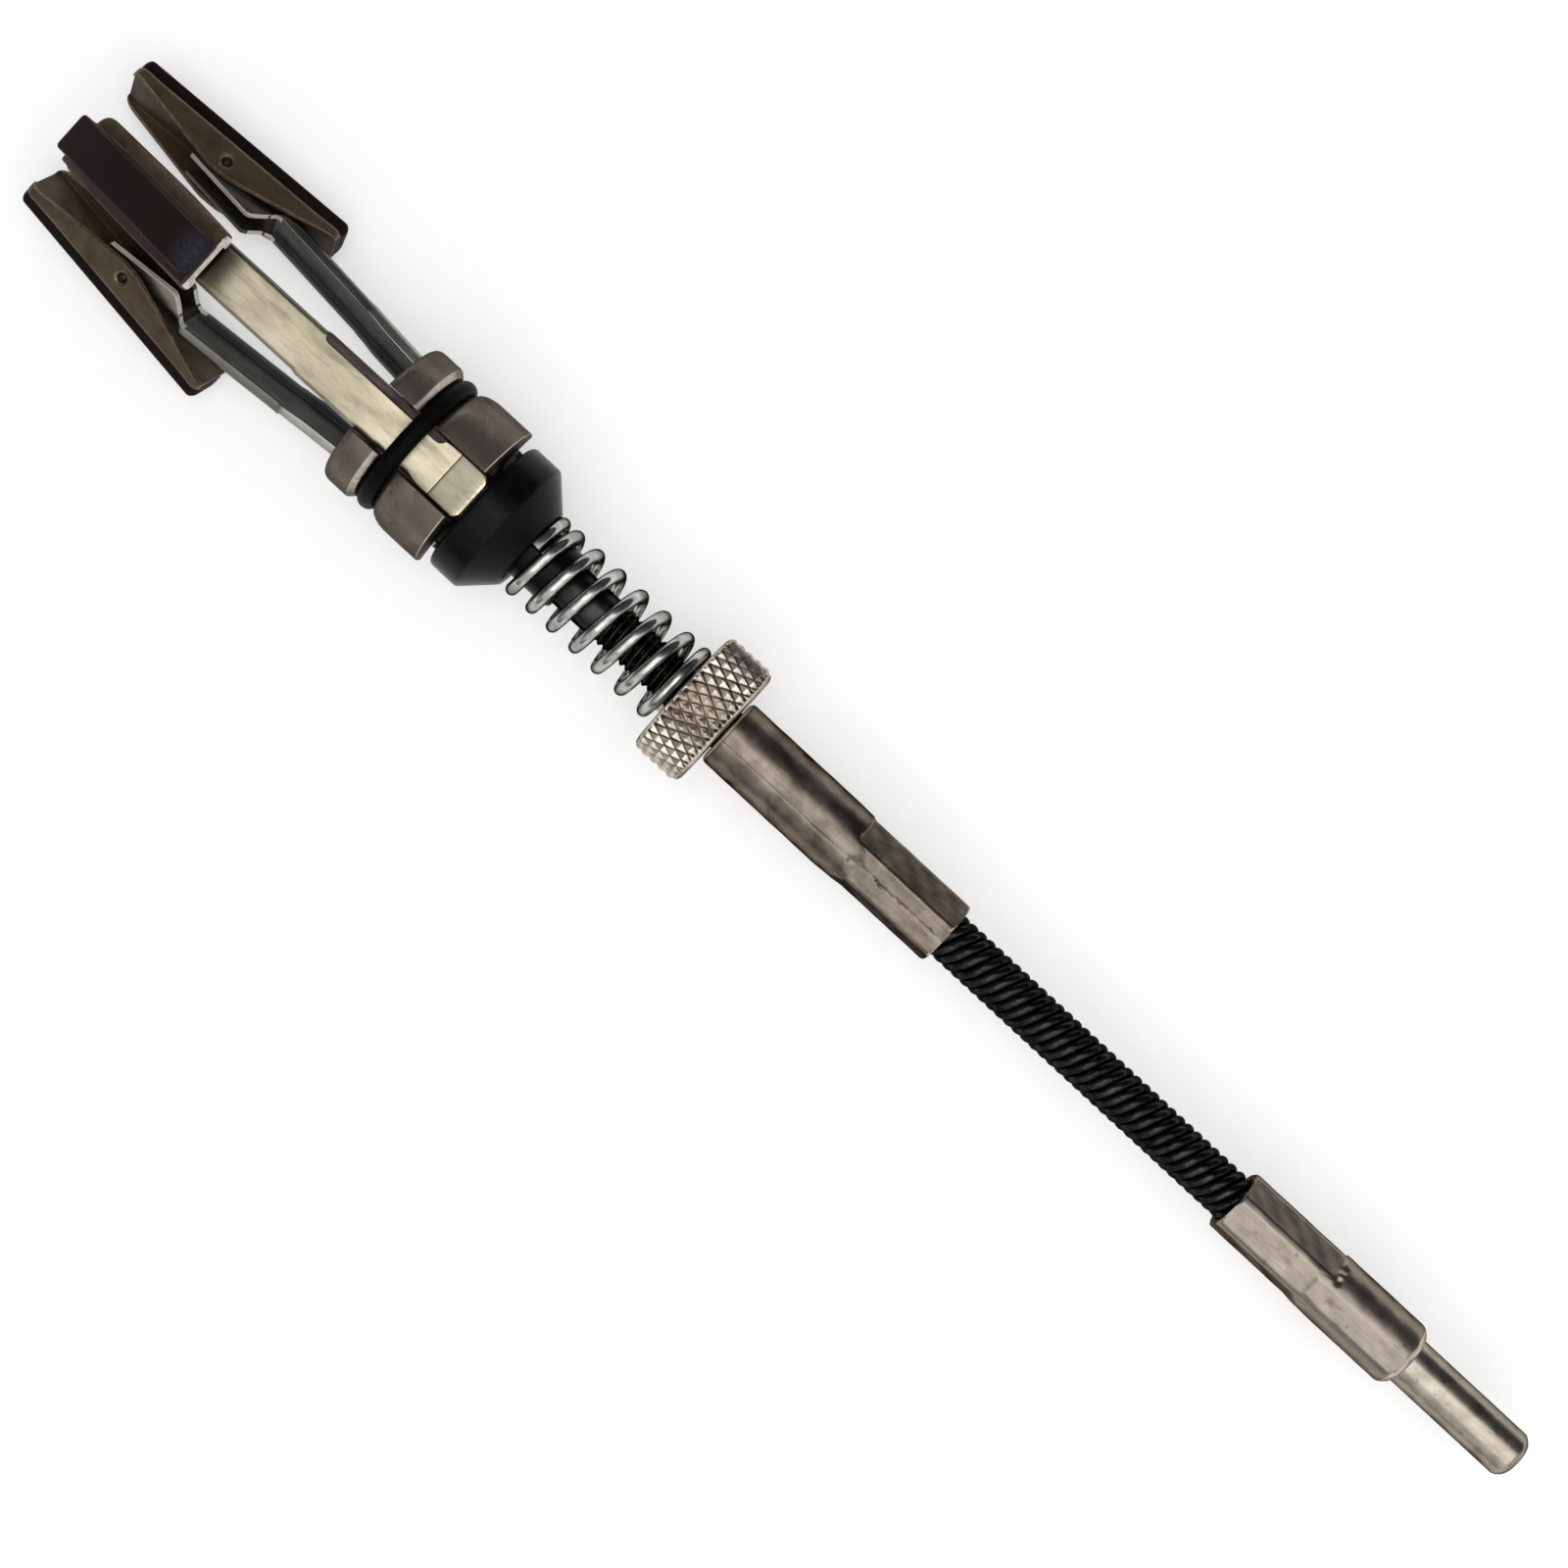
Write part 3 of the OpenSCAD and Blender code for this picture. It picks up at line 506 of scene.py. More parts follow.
# Ferrules: round bodies with six flats pressed in at the shaft's side
ferruleSizes = {
    "flat": 3.97, "flatsStart": 15, "frontFlat": 255, "sideFlat": 190, "hole": 3.25, "sides": 264, "step": 0.24,
    "lower": {"seat": 2.9, "chamfer": 3.72, "base": 4.46, "body": 4.47, "crimp": 4.38, "end": 4.36, "keep": 0.62},
    "upper": {"seat": 2.97, "body": 4.62, "crimp": 4.50, "end": 4.48, "seam": -103},
}


def flatRadius(angle):
    # distance from the axis to the nearest of the six flats
    turn = (angle - math.radians(ferruleSizes["flatsStart"])) % (math.pi / 3)
    return ferruleSizes["flat"] / math.cos(min(turn, math.pi / 3 - turn))


def angleAway(angle, degrees):
    # from a direction in degrees, between -pi and pi
    return (angle - math.radians(degrees) + math.pi) % (2 * math.pi) - math.pi


def softMin(a, b, width):
    h = max(width - abs(a - b), 0.0) / width
    return min(a, b) - h * h * width * 0.25


def ferruleShape(crimp, plainEnd, rim, dents, seam=None, keep=0.0):
    # plainEnd: height where the flats run out into the round body; rim: height of the shaft's end;
    # dents: (direction, height, reach, depth) of small marks; seam: direction of the tube's seam;
    # keep: share of the front flat that goes on along the body
    rough = np.random.default_rng(11).uniform(-1, 1, 512)

    def along(z, step):
        place = z / step
        i = int(math.floor(place))
        t = place - i
        return rough[i % 512] * (1 - t) + rough[(i + 1) % 512] * t

    def shape(r, z, a):
        if r < ferruleSizes["hole"] + 0.05:
            return r
        out = r
        away = abs(z - plainEnd) if (z - plainEnd) * (rim - plainEnd) > 0 else 0.0
        # two flats run out gently, the others end at a clear step
        front = math.cos(a - math.radians(ferruleSizes["frontFlat"]))
        calm = max(front, math.cos(a - math.radians(ferruleSizes["sideFlat"])))
        run = between(calm, 0.84, 0.93, 0.5, 3.0)
        depth = smoothStep((away - 0.15) / run)
        depth = max(depth, between(front, 0.84, 0.93, 0.0, keep))
        if depth > 0:
            target = softMin(flatRadius(a), crimp, 0.1)
            out = min(out, target + (1 - depth) * 0.7)
        if seam is not None:
            off = angleAway(a, seam) * r
            if away > 0.6:
                off -= 0.22 * along(z, 0.55)
                width = 0.17 + 0.09 * along(z + 90, 0.8)
                mark = max(0.02, 0.10 + 0.13 * along(z + 50, 0.42))
            else:
                off -= 0.03 * along(z, 2.0)
                width = 0.09
                mark = 0.06 + 0.03 * along(z + 50, 1.5)
            out -= mark * math.exp(-(off / width) ** 2)
        for direction, height, reach, deep in dents:
            side = angleAway(a, direction) * r
            far = (side / reach) ** 2 + ((z - height) / (reach * 0.7)) ** 2
            if far < 6:
                out -= deep * math.exp(-far)
        wave = 0.010 * math.sin(5 * a + z * 0.9) + 0.008 * math.sin(9 * a - z * 1.7 + 1.0)
        return out + wave
    return shape


def wornAndLitEnds(piece, low, top):
    # the turned ends are worn bright, and their lighter finish is also a painted highlight along the rims
    piece.data.materials.append(looks["nutPlain"])
    for face in piece.data.polygons:
        z = face.center.z * 1000
        wide = math.hypot(face.center.x, face.center.y) * 1000
        if wide > 3.35 and abs(face.normal.z) > 0.35 and (z < low or z > top):
            face.material_index = 1


def makeLowerFerrule():
    f, hole = ferruleSizes["lower"], ferruleSizes["hole"]
    low, mid, top = axisPlaces["shankTop"], axisPlaces["lowerMid"], axisPlaces["flexLow"]
    corners = [
        (f["seat"], low + 8.4), (f["seat"], low), (f["chamfer"], low), (f["base"], low + 0.9),
        (f["body"], mid - 0.4), (f["crimp"], mid + 2.4), (f["end"], top),
        (hole, top), (hole, top - 14.2), (f["seat"], top - 14.2),
    ]
    outline = roundCorners(corners, [0, 0, 0.25, 0.5, 0.3, 0.3, 0.7, 0.2, 0, 0], False)
    rows = splitEdges(outline, ferruleSizes["step"])
    dents = [
        (291, mid + 0.2, 0.55, 0.32), (313, mid + 0.3, 0.55, 0.28), (250, mid + 6.2, 0.8, 0.10),
        (251, mid - 0.7, 0.6, 0.12), (252, mid - 10.2, 1.1, 0.10), (262, mid - 8.6, 0.7, 0.06),
        (247, mid + 11.5, 0.7, 0.07),
    ]
    shape = ferruleShape(f["crimp"], mid + 0.2, top, dents, None, f["keep"])
    piece = lathePiece("lowerFerruleBody", rows, looks["lowerFerrule"], True, ferruleSizes["sides"], 50, shape)
    wornAndLitEnds(piece, low + 0.95, top + 1)
    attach(piece, "shank")
    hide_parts("lower_ferrule")


def makeUpperFerrule():
    f, hole = ferruleSizes["upper"], ferruleSizes["hole"]
    low, mid, top = axisPlaces["flexTop"], axisPlaces["upperMid"], axisPlaces["upperTop"]
    corners = [
        (f["seat"], mid - 1.7), (hole, mid - 2.8), (hole, low), (f["end"], low), (f["crimp"], mid - 2.0),
        (f["body"], mid + 0.8), (f["body"], top), (f["seat"], top),
    ]
    outline = roundCorners(corners, [0, 0, 0.2, 0.8, 0.3, 0.3, 0.75, 0], False)
    rows = splitEdges(outline, ferruleSizes["step"])
    dents = [
        (256, mid - 2.4, 0.45, 0.22), (262, mid - 3.6, 0.4, 0.14), (266, mid + 4.5, 0.9, 0.06),
        (248, mid + 9.0, 0.8, 0.05),
    ]
    shape = ferruleShape(f["crimp"], mid - 0.9, low, dents, f["seam"])
    piece = lathePiece("upperFerruleBody", rows, looks["upperFerrule"], True, ferruleSizes["sides"], 50, shape)
    wornAndLitEnds(piece, low + 0.35, top - 0.35)
    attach(piece, "head")
    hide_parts("upper_ferrule")


makeLowerFerrule()
makeUpperFerrule()
print("stage: shank and ferrules made")

# Flexible shaft: five left-handed wires round a dark filling
windingSizes = {
    "wires": 5, "lead": 7.1, "wire": 0.655, "radius": 2.53, "fill": 1.96, "inside": 2.0, "straight": 0.5,
}


def windingPoint(z, phase):
    turn = phase - 2 * math.pi * z / windingSizes["lead"]
    r = windingSizes["radius"]
    outward = Vector((math.cos(turn), math.sin(turn), 0))
    rate = -2 * math.pi / windingSizes["lead"]
    along = Vector((-math.sin(turn) * r * rate, math.cos(turn) * r * rate, 1)).normalized()
    return Vector((r * outward.x, r * outward.y, z)), outward, along


def makeWinding(name, low, high, nodes):
    points, faces = [], []
    for wire in range(windingSizes["wires"]):
        phase = 2 * math.pi * wire / windingSizes["wires"]
        count = int((high - low) / windingSizes["lead"] * 32)
        path = [windingPoint(low + (high - low) * i / count, phase) for i in range(count + 1)]
        tubeMesh(path, windingSizes["wire"], 12, points, faces)
    piece = makePiece(name, points, faces, looks["winding"], 60)
    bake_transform(piece)
    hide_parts(*nodes)


def makeFilling(name, low, high, nodes):
    rows = [(windingSizes["fill"], low + (high - low) * i / 24) for i in range(25)]
    piece = lathePiece(name, rows, looks["winding"], segments=32)
    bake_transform(piece)
    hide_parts(*nodes)


def makeShaft():
    low = axisPlaces["flexLow"] - windingSizes["inside"]
    high = axisPlaces["flexTop"] + windingSizes["inside"]
    middle = (axisPlaces["bendLow"] + axisPlaces["bendTop"]) / 2
    makeWinding("windingLow", low, middle,
                ("flex_winding_lower", "flex_winding_middle"))
    makeWinding("windingHigh", middle, high, ("flex_winding_upper",))
    makeFilling("fillingLow", low, middle,
                ("flex_core_lower", "flex_core_middle"))
    makeFilling("fillingHigh", middle, high, ("flex_core_upper",))


makeShaft()
print("stage: flexible shaft made")

# Spindle with its right-handed thread
spindleSizes = {
    "major": 2.95, "depth": 0.46, "pitch": 0.907, "low": 100.0, "threadLow": 119.9, "threadTop": 140.2,
    "plainTop": 156.6, "shoulder": 157.0, "neck": 1.7, "neckTop": 163.7, "tenon": 1.35, "rivet": 2.2,
}


def makeSpindle():
    s = spindleSizes
    # radius, height and how deep the thread is there
    rows = [(s["major"], s["low"], 0.0), (s["major"], s["threadLow"] - 0.2, 0.0)]
    count = int((s["threadTop"] - s["threadLow"]) / s["pitch"] * 8)
    for i in range(count + 1):
        z = s["threadLow"] + (s["threadTop"] - s["threadLow"]) * i / count
        rows.append((s["major"], z, min(1.0, (s["threadTop"] - z) / 1.2)))
    top = axisPlaces["hinge"] + 3.0
    rows += [
        (s["major"], s["threadTop"] + 0.4, 0), (s["major"], s["plainTop"], 0), (2.6, s["shoulder"], 0),
        (s["neck"], s["shoulder"], 0), (s["neck"], s["neckTop"], 0), (s["tenon"], s["neckTop"] + 0.05, 0),
        (s["tenon"], top, 0), (s["rivet"] - 0.1, top + 0.02, 0), (s["rivet"], top + 0.3, 0),
        (s["rivet"] - 0.2, top + 0.65, 0), (s["rivet"] - 0.8, top + 0.9, 0), (0.5, top + 1.0, 0),
    ]
    amounts = {round(z, 5): amount for r, z, amount in rows}

    def shape(r, z, a):
        amount = amounts.get(round(z, 5), 0)
        if amount <= 0:
            return r
        wave = (z / s["pitch"] - a / (2 * math.pi)) % 1.0
        groove = min(1.0, 1.25 * (1 - abs(2 * wave - 1)))
        return r - s["depth"] * amount * (1 - groove)

    outline = [(r, z) for r, z, amount in rows]
    piece = lathePiece("spindleBody", outline, looks["spindle"], segments=64, sharp=50, shape=shape)
    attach(piece, "head")
    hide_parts("spindle")


makeSpindle()

# Adjusting nut with a diamond knurl
nutSizes = {
    "radius": 8.85, "hole": 3.0, "count": 36, "rise": 2.62, "depth": 0.52, "plainLow": 0.62, "plainTop": 0.42,
    "step": 0.17, "sides": 576,
}


def makeNut():
    n = nutSizes
    low, top = axisPlaces["nutLow"], axisPlaces["nutTop"]
    corners = [
        (n["hole"], top - 0.3), (n["hole"] + 0.4, top), (n["radius"] - 0.7, top),
        (n["radius"], top - 0.6), (n["radius"], low + 0.7), (n["radius"] - 0.8, low),
        (n["hole"] + 0.4, low), (n["hole"], low + 0.3),
    ]
    outline = roundCorners(corners, [0, 0, 0.4, 0.5, 0.5, 0.4, 0, 0])
    rows = splitEdges(outline, n["step"], True, n["radius"] - 0.65)

    def wave(x):
        return 1 - abs(2 * (x % 1.0) - 1)

    def shape(r, z, a):
        amount = smoothStep((r - n["radius"] + 0.42) / 0.34)
        if amount <= 0:
            return r
        share = n["count"] * a / (2 * math.pi)
        lift = (z - low) / n["rise"]
        peak = min(1.0, 1.18 * min(wave(share + lift), wave(share - lift)))
        return r - n["depth"] * amount * (1 - peak)

    piece = lathePiece("nutBody", rows, looks["nut"], True, n["sides"], 24, shape)
    piece.data.materials.append(looks["nutPlain"])
    for face in piece.data.polygons:
        height = face.center.z * 1000
        if height < low + n["plainLow"] or height > top - n["plainTop"]:
            face.material_index = 1
    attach(piece, "nut")
    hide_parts("adjusting_nut")


makeNut()
print("stage: spindle and nut made")

# Coil spring, cut in two behind
springSizes = {
    "wire": 0.825, "radius": 4.975, "curls": 7.6, "end": 0.7, "endGap": 0.2, "split": 6.128, "gap": 0.03,
    "places": [0, 0.88, 1.88, 2.88, 3.88, 4.88, 5.88, 6.88, 7.6],
    "lifts": [-0.3, -0.46, -0.2, 0.18, 0.38, 0.64, 0.52, 0.32, 0.36],
}


def springPoint(c):
    s = springSizes
    rise = axisPlaces["seat"] - axisPlaces["nutTop"] - 2 * s["wire"] - 2 * s["gap"]
    share = (1 - s["end"]) / (s["curls"] - 2 * s["end"])
    endPitch = (2 * s["wire"] + s["endGap"] - share * rise) / (s["end"] * (1 - 2 * share))
    pitch = (rise - 2 * s["end"] * endPitch) / (s["curls"] - 2 * s["end"])
    if c < s["end"]:
        height = c * endPitch
    elif c > s["curls"] - s["end"]:
        height = rise - (s["curls"] - c) * endPitch
    else:
        height = s["end"] * endPitch + (c - s["end"]) * pitch
    # no real spring is even: it sags by the nut and crowds by the cup
    height += float(np.interp(c, s["places"], s["lifts"]))
    turn = math.radians(360 * (s["curls"] - c) - 80)
    return Vector((
        s["radius"] * math.cos(turn), s["radius"] * math.sin(turn),
        axisPlaces["nutTop"] + s["gap"] + s["wire"] + height,
    )), Vector((math.cos(turn), math.sin(turn), 0))


def makeSpringPart(name, first, last, nodes):
    points, faces = [], []
    count = int((last - first) * 56)
    path = []
    for i in range(count + 1):
        c = first + (last - first) * i / count
        centre, outward = springPoint(c)
        along = springPoint(c + 0.002)[0] - springPoint(c - 0.002)[0]
        path.append((centre, outward, along.normalized()))
    tubeMesh(path, springSizes["wire"], 20, points, faces)
    # both ends are ground flat
    low, high = axisPlaces["nutTop"] + springSizes["gap"], axisPlaces["seat"] - springSizes["gap"]
    points = [(x, y, min(max(z, low), high)) for x, y, z in points]
    piece = makePiece(name, points, faces, looks["spring"], 50)
    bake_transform(piece)
    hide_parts(*nodes)


split = springSizes["split"]
makeSpringPart("springLow", 0, split, ("coil_spring",))
makeSpringPart("springHigh", split, springSizes["curls"], ("coil_spring",))

# Thrust cup with the hollow that the arms' toes ride in
cupSizes = {
    "radius": 9.4, "neck": 3.85, "neckLow": 146.2, "seatRadius": 5.6, "hole": 3.0, "stem": 1.85, "stemLow": 158.15,
    "lift": 0.95, "swing": 20.0, "swingLow": -1.5, "toeX": 1.15, "toeZ": -4.7, "toeReach": 5.4, "toeBend": 12.8,
    "toeRound": 0.56,
}


def turnPoint(x, z, degrees):
    a = math.radians(degrees)
    return x * math.cos(a) + z * math.sin(a), -x * math.sin(a) + z * math.cos(a)


def dishPoint(swing):
    # where a toe's round end touches the cup's hollow while the arm swings and the cup lifts
    c = cupSizes
    bend = math.radians(c["toeBend"])

    def toe(a):
        x, z = turnPoint(
            c["toeX"] + c["toeReach"] * math.sin(bend), c["toeZ"] - c["toeReach"] * math.cos(bend), armLean + a)
        return Vector((x, z - c["lift"] / c["swing"] * a))

    along = toe(swing + 0.5) - toe(swing - 0.5)
    across = Vector((along.y, -along.x)).normalized()
    if across.y < 0:
        across = -across
    found = toe(swing) - across * c["toeRound"]
    return hingeRadius + found.x, axisPlaces["hinge"] + found.y


def makeCup():
    c = cupSizes
    seat, top = axisPlaces["seat"], axisPlaces["cupTop"]
    dish = [dishPoint(c["swingLow"] + (c["swing"] - c["swingLow"]) * i / 12) for i in range(13)]
    floor = dish[-1][1]
    corners = [
        (c["hole"], c["neckLow"]), (c["neck"] - 0.35, c["neckLow"]), (c["neck"], c["neckLow"] + 0.5),
        (c["neck"], seat), (c["seatRadius"], seat), (c["radius"], seat + 3.8),
        (c["radius"], top), (dish[0][0] + 0.35, top),
    ]
    outline = roundCorners(corners, [0, 0.2, 0.2, 0, 0.35, 0.35, 1.25, 0], False, 6)
    outline += dish + [(c["stem"], floor), (c["stem"], c["stemLow"]), (c["hole"], c["stemLow"])]
    piece = lathePiece("cupBody", outline, looks["cup"], closed=True, segments=144, sharp=40)
    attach(piece, "cup")
    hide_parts("thrust_cup")


makeCup()
print("stage: spring and cup made")

# Hub with three slots
hubSizes = {
    "radius": 10.3, "waist": 9.0, "groove": 7.6, "slot": 7.0, "hole": 1.38, "saddle": 1.26,
    "shoulderWide": 1.3, "shoulderHigh": 2.9, "shoulderLow": 4.35,
}


def makeHub():
    h = hubSizes
    low, hinge, top = axisPlaces["hubLow"], axisPlaces["hinge"], axisPlaces["hubTop"]
    outline = [(h["hole"], top), (h["hole"], low), (h["radius"] - 0.12, low), (h["radius"], low + 0.12)]
    for x, y in arcPoints(1.0, 0, 78, 10):
        outline.append((h["waist"] + h["shoulderWide"] * x, hinge - h["shoulderLow"] + h["shoulderHigh"] * y))
    outline += roundCorners([
        (h["waist"] - 0.1, hinge - 1.4), (h["groove"], hinge - 1.25), (h["groove"], hinge + 1.35),
        (h["radius"] - 0.75, hinge + 1.35), (h["radius"], hinge + 2.1), (h["radius"], top), (h["hole"] + 1.2, top),
    ], [0, 0.15, 0.3, 0.15, 0.25, 1.3, 0], False, 6)
    piece = lathePiece("hubBody", outline, looks["hub"], closed=True, segments=180)
    # a slot, in the arm's own x and z, with the saddle that the arm's lobes rock in
    cutters = []
    edge = [
        (-0.77, 1.0), (-3.1, 3.0), (-7.0, 3.0), (-7.0, 7.0), (7.0, 7.0), (7.0, -10.5), (-7.0, -10.5),
        (-7.0, -7.2), (-3.29, -7.2), (-0.77, -1.0),
    ]
    edge += arcPoints(h["saddle"], 127.6, 232.4, 8)
    half = h["slot"] / 2
    for leg in legs.values():
        matrix = atHinge(leg["direction"], 0)
        rings = [movePoints([(x, y, z) for x, z in edge], matrix) for y in (-half, half)]
        cutters.append(loftPiece("slotCutter", rings, looks["hub"]))
    cutPiece(piece, cutters)
    bevelPiece(piece, 0.16, 50)
    piece.data.materials.append(looks["hubEdgeAndHighlight"])
    # the turned chamfer under the collar, which faces down, and the bottom rim get the lighter finish, partly a
    # painted highlight
    for face in piece.data.polygons:
        height = face.center.z * 1000
        turned = face.normal.z < -0.35 and hinge + 1.3 < height < hinge + 2.3
        rim = height < low + 0.2 and face.normal.z > -0.9
        if turned or rim:
            face.material_index = 1
    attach(piece, "head")
    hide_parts("hub")


makeHub()

# Rubber ring
ringSizes = {"centre": 8.95, "wide": 1.0416, "high": 1.18}


def makeRing():
    s = ringSizes
    circle = arcPoints(1.0, 0, 360, 28)[:-1]
    outline = [(s["centre"] + s["wide"] * x, axisPlaces["hinge"] + s["high"] * y) for x, y in circle]
    piece = lathePiece("ringBody", outline, looks["ring"], closed=True, segments=128, sharp=80)
    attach(piece, "head")
    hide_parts("hub_ring")


makeRing()
print("stage: hub and ring made")

# Arms: stamped channels that narrow to a fork at the tip
armSizes = {
    "sheet": 0.9, "web": 1.6, "half": 3.1, "wideHalf": 3.3, "waistHalf": 3.1, "tailHalf": 3.24,
    "tipHalf": 2.5, "step": 1.3, "joggle": 30.9, "joggleLength": 1.5, "inner": 0.0, "root": -0.2,
    "tipInner": -2.7, "tipTop": 43.8, "webEnd": 35.0, "deepenEnd": 34.2, "ledge": 2.12,
    "bend": 5.6, "bendAngle": 15.3, "toeRound": 1.6, "toeTop": -8.83, "lobe": 1.19, "hole": 1.16, "eye": 1.65,
}


def armSection(z):
    a = armSizes
    joggled = a["joggle"] + a["joggleLength"]
    web = between(z, a["joggle"], joggled, a["web"], a["web"] - a["step"])
    # a waist at the lobes, wider flanges in the hub's slot, and a narrow fork
    if z < 3.6:
        half = between(z, 2.2, 3.8, a["waistHalf"], a["wideHalf"])
    elif z < 17:
        half = between(z, 15.2, 16.2, a["wideHalf"], a["half"])
    else:
        half = between(z, a["joggle"], joggled, a["half"], a["tipHalf"])
    if z < -2.6:
        half = between(z, -4.4, -2.8, a["tailHalf"], a["waistHalf"])
    # the flanges' edge, which is deeper from the joggle to the tip and runs into the web at the tail
    edge = between(z, 12, 15, a["root"], a["inner"])
    edge = between(z, a["joggle"] + 0.2, a["deepenEnd"], edge, a["tipInner"])
    if z < -1.1:
        edge = between(z, -3.4, -1.1, a["web"] - a["sheet"] - 0.02, a["root"])
    # a fine crease across the bend of the tail
    web -= 0.13 * math.exp(-((z + a["bend"] - 0.04) / 0.07) ** 2)
    return web, half, edge


def channelRing(web, half, edge, sheet, corner):
    inner = web - sheet
    edge = min(edge, inner - 0.02)
    outerRound = min(corner, web - edge - 0.05, half - 0.05)
    innerRound = max(outerRound - sheet, 0.12)
    corners = [
        (edge, -half), (web, -half), (web, half), (edge, half),
        (edge, half - sheet), (inner, half - sheet), (inner, -half + sheet), (edge, -half + sheet),
    ]
    lip = 0.16
    return roundCorners(corners, [lip, outerRound, outerRound, lip, lip, innerRound, innerRound, lip], True, 5)


def armRings():
    a = armSizes
    heights = [
        -10.43, -10.38, -10.28, -10.1, -9.8, -9.4, -9.0, -8.5, -7.5, -6.5, -6.0, -5.75, -5.66, -5.61, -5.56, -5.5,
        -5.44, -5.2, -4.8, -4.4, -4.0, -3.6, -3.2, -2.8, -2.4, -2.0, -1.6, -1.2, -0.8, 0, 0.8, 1.6, 2.2, 2.5, 2.8,
        3.1, 3.4, 3.8, 5, 7, 9, 11, 12, 12.8, 13.6, 14.4, 15.0, 15.3, 15.5, 15.7, 15.9, 16.2, 18, 20, 22, 24, 26,
        27, 28, 29, 29.7, 30.2, 30.6,
    ]
    heights += [31.0 + 3.2 * i / 14 for i in range(15)] + [34.6, 36, 38, 40, 42, a["tipTop"]]
    middle = a["web"] - a["sheet"] / 2
    bend = math.radians(a["bendAngle"])
    rings = []
    for z in heights:
        web, half, edge = armSection(z)
        if z < a["toeTop"] - 0.07:
            # the toe's corners are round
            drop = min(a["toeRound"], a["toeTop"] - z)
            half += math.sqrt(max(a["toeRound"] ** 2 - drop ** 2, 0.0)) - a["toeRound"]
        ring = channelRing(web, max(half, 1.5), edge, a["sheet"], between(z, -3.4, -1.1, 0.22, 0.95))
        along = -a["bend"] - z
        if along > 0:
            # the tail bends outward, and its sheet thins to a round end
            thin = 1.0 if z > -10.0 else math.sqrt(max(0.02, 1 - ((-10.0 - z) / 0.45) ** 2))
            rings.append([(
                middle + along * math.sin(bend) + (x - middle) * thin * math.cos(bend), y,
                z + along * (1 - math.cos(bend)) + (x - middle) * thin * math.sin(bend),
            ) for x, y in ring])
        else:
            rings.append([(x, y, z) for x, y in ring])
    return rings


def prism(name, outline, low, high, matrix, flip=False):
    # outline in the arm's x and z, from low to high across it; flip draws it in y and z instead
    rings = []
    for y in (low, high):
        rings.append(movePoints([(y, x, z) if flip else (x, y, z) for x, z in outline], matrix))
    return loftPiece(name, rings, looks["arm"])


def armCutters(matrix):
    # the web ends short of the fork's eyes, and the fork's outer corner is sloped off
    a = armSizes
    web = [(-5.0, a["webEnd"]), (5.0, a["webEnd"]), (5.0, 50.0), (-5.0, 50.0)]
    eye = arcPoints(a["eye"], -12, 72, 8, pivotX, pivotZ)
    slope = [(8.0, 37.4), (0.45, 38.2)] + eye + [(-0.79, 42.43), (-2.75, 43.84), (-2.75, 44.3), (8.0, 44.3)]
    hole = arcPoints(a["hole"], 0, 360, 32, pivotX, pivotZ)[:-1]
    # ledge along one edge of the web, from the step down past the ring
    side = a["ledge"]
    ledge = roundCorners([(side, -3.1), (5.0, -3.1), (5.0, 15.6), (side, 15.6)], [1.2, 0, 0, 0.9], True, 6)
    return [
        prism("webCutter", web, -1.62, 1.62, matrix),
        prism("slopeCutter", slope, -5.0, 5.0, matrix),
        prism("holeCutter", hole, -5.0, 5.0, matrix),
        prism("ledgeCutter", ledge, 1.05, 3.0, matrix, True),
    ]


def paintArm(piece, matrix, ledgeLook, shadedSide):
    # the web's outside is stamped and bright, the flanges are greyer, and the inside is dark green painted shade
    # shadedSide: side of the prong whose cut edge gets the dark green painted shade instead of the bright cut
    # colour
    for look in (looks["armInnerShade"], looks["sheetZinc"], looks["cutZinc"], looks["pit"], ledgeLook):
        piece.data.materials.append(look)
    a = armSizes
    for face, centre, normal in localFaces(piece, matrix):
        web, half, _ = armSection(centre.z)
        onWeb = normal.x > 0.55
        onFlange = abs(centre.y) > half - 0.1 and normal.y * centre.y > 0.3
        inFork = centre.z > a["joggle"] + 0.6 and abs(centre.y) < half - 0.5 and not onWeb
        cutEdge = normal.x < -0.3 and centre.x < web - a["sheet"] - 0.2 and centre.z > a["joggle"] - 0.35
        ledge = a["ledge"] - 0.05 < centre.y < half - 0.1 and centre.x < web - 0.1 and normal.x > -0.2
        ledge = ledge and -3.2 < centre.z < 15.7
        shadedEdge = cutEdge and centre.y * shadedSide > 0 and centre.z > a["joggle"] + 2.3
        if ledge:
            face.material_index = 5
        elif shadedEdge:
            face.material_index = 1
        elif cutEdge or centre.z > a["tipTop"] - 0.1:
            face.material_index = 3
        elif onFlange or (onWeb and centre.z > a["joggle"] + 0.3):
            face.material_index = 2
        # painted shade: the fork's hollow between the prongs is near black
        elif inFork and centre.z < 42.2:
            face.material_index = 4
        elif not onWeb:
            face.material_index = 1


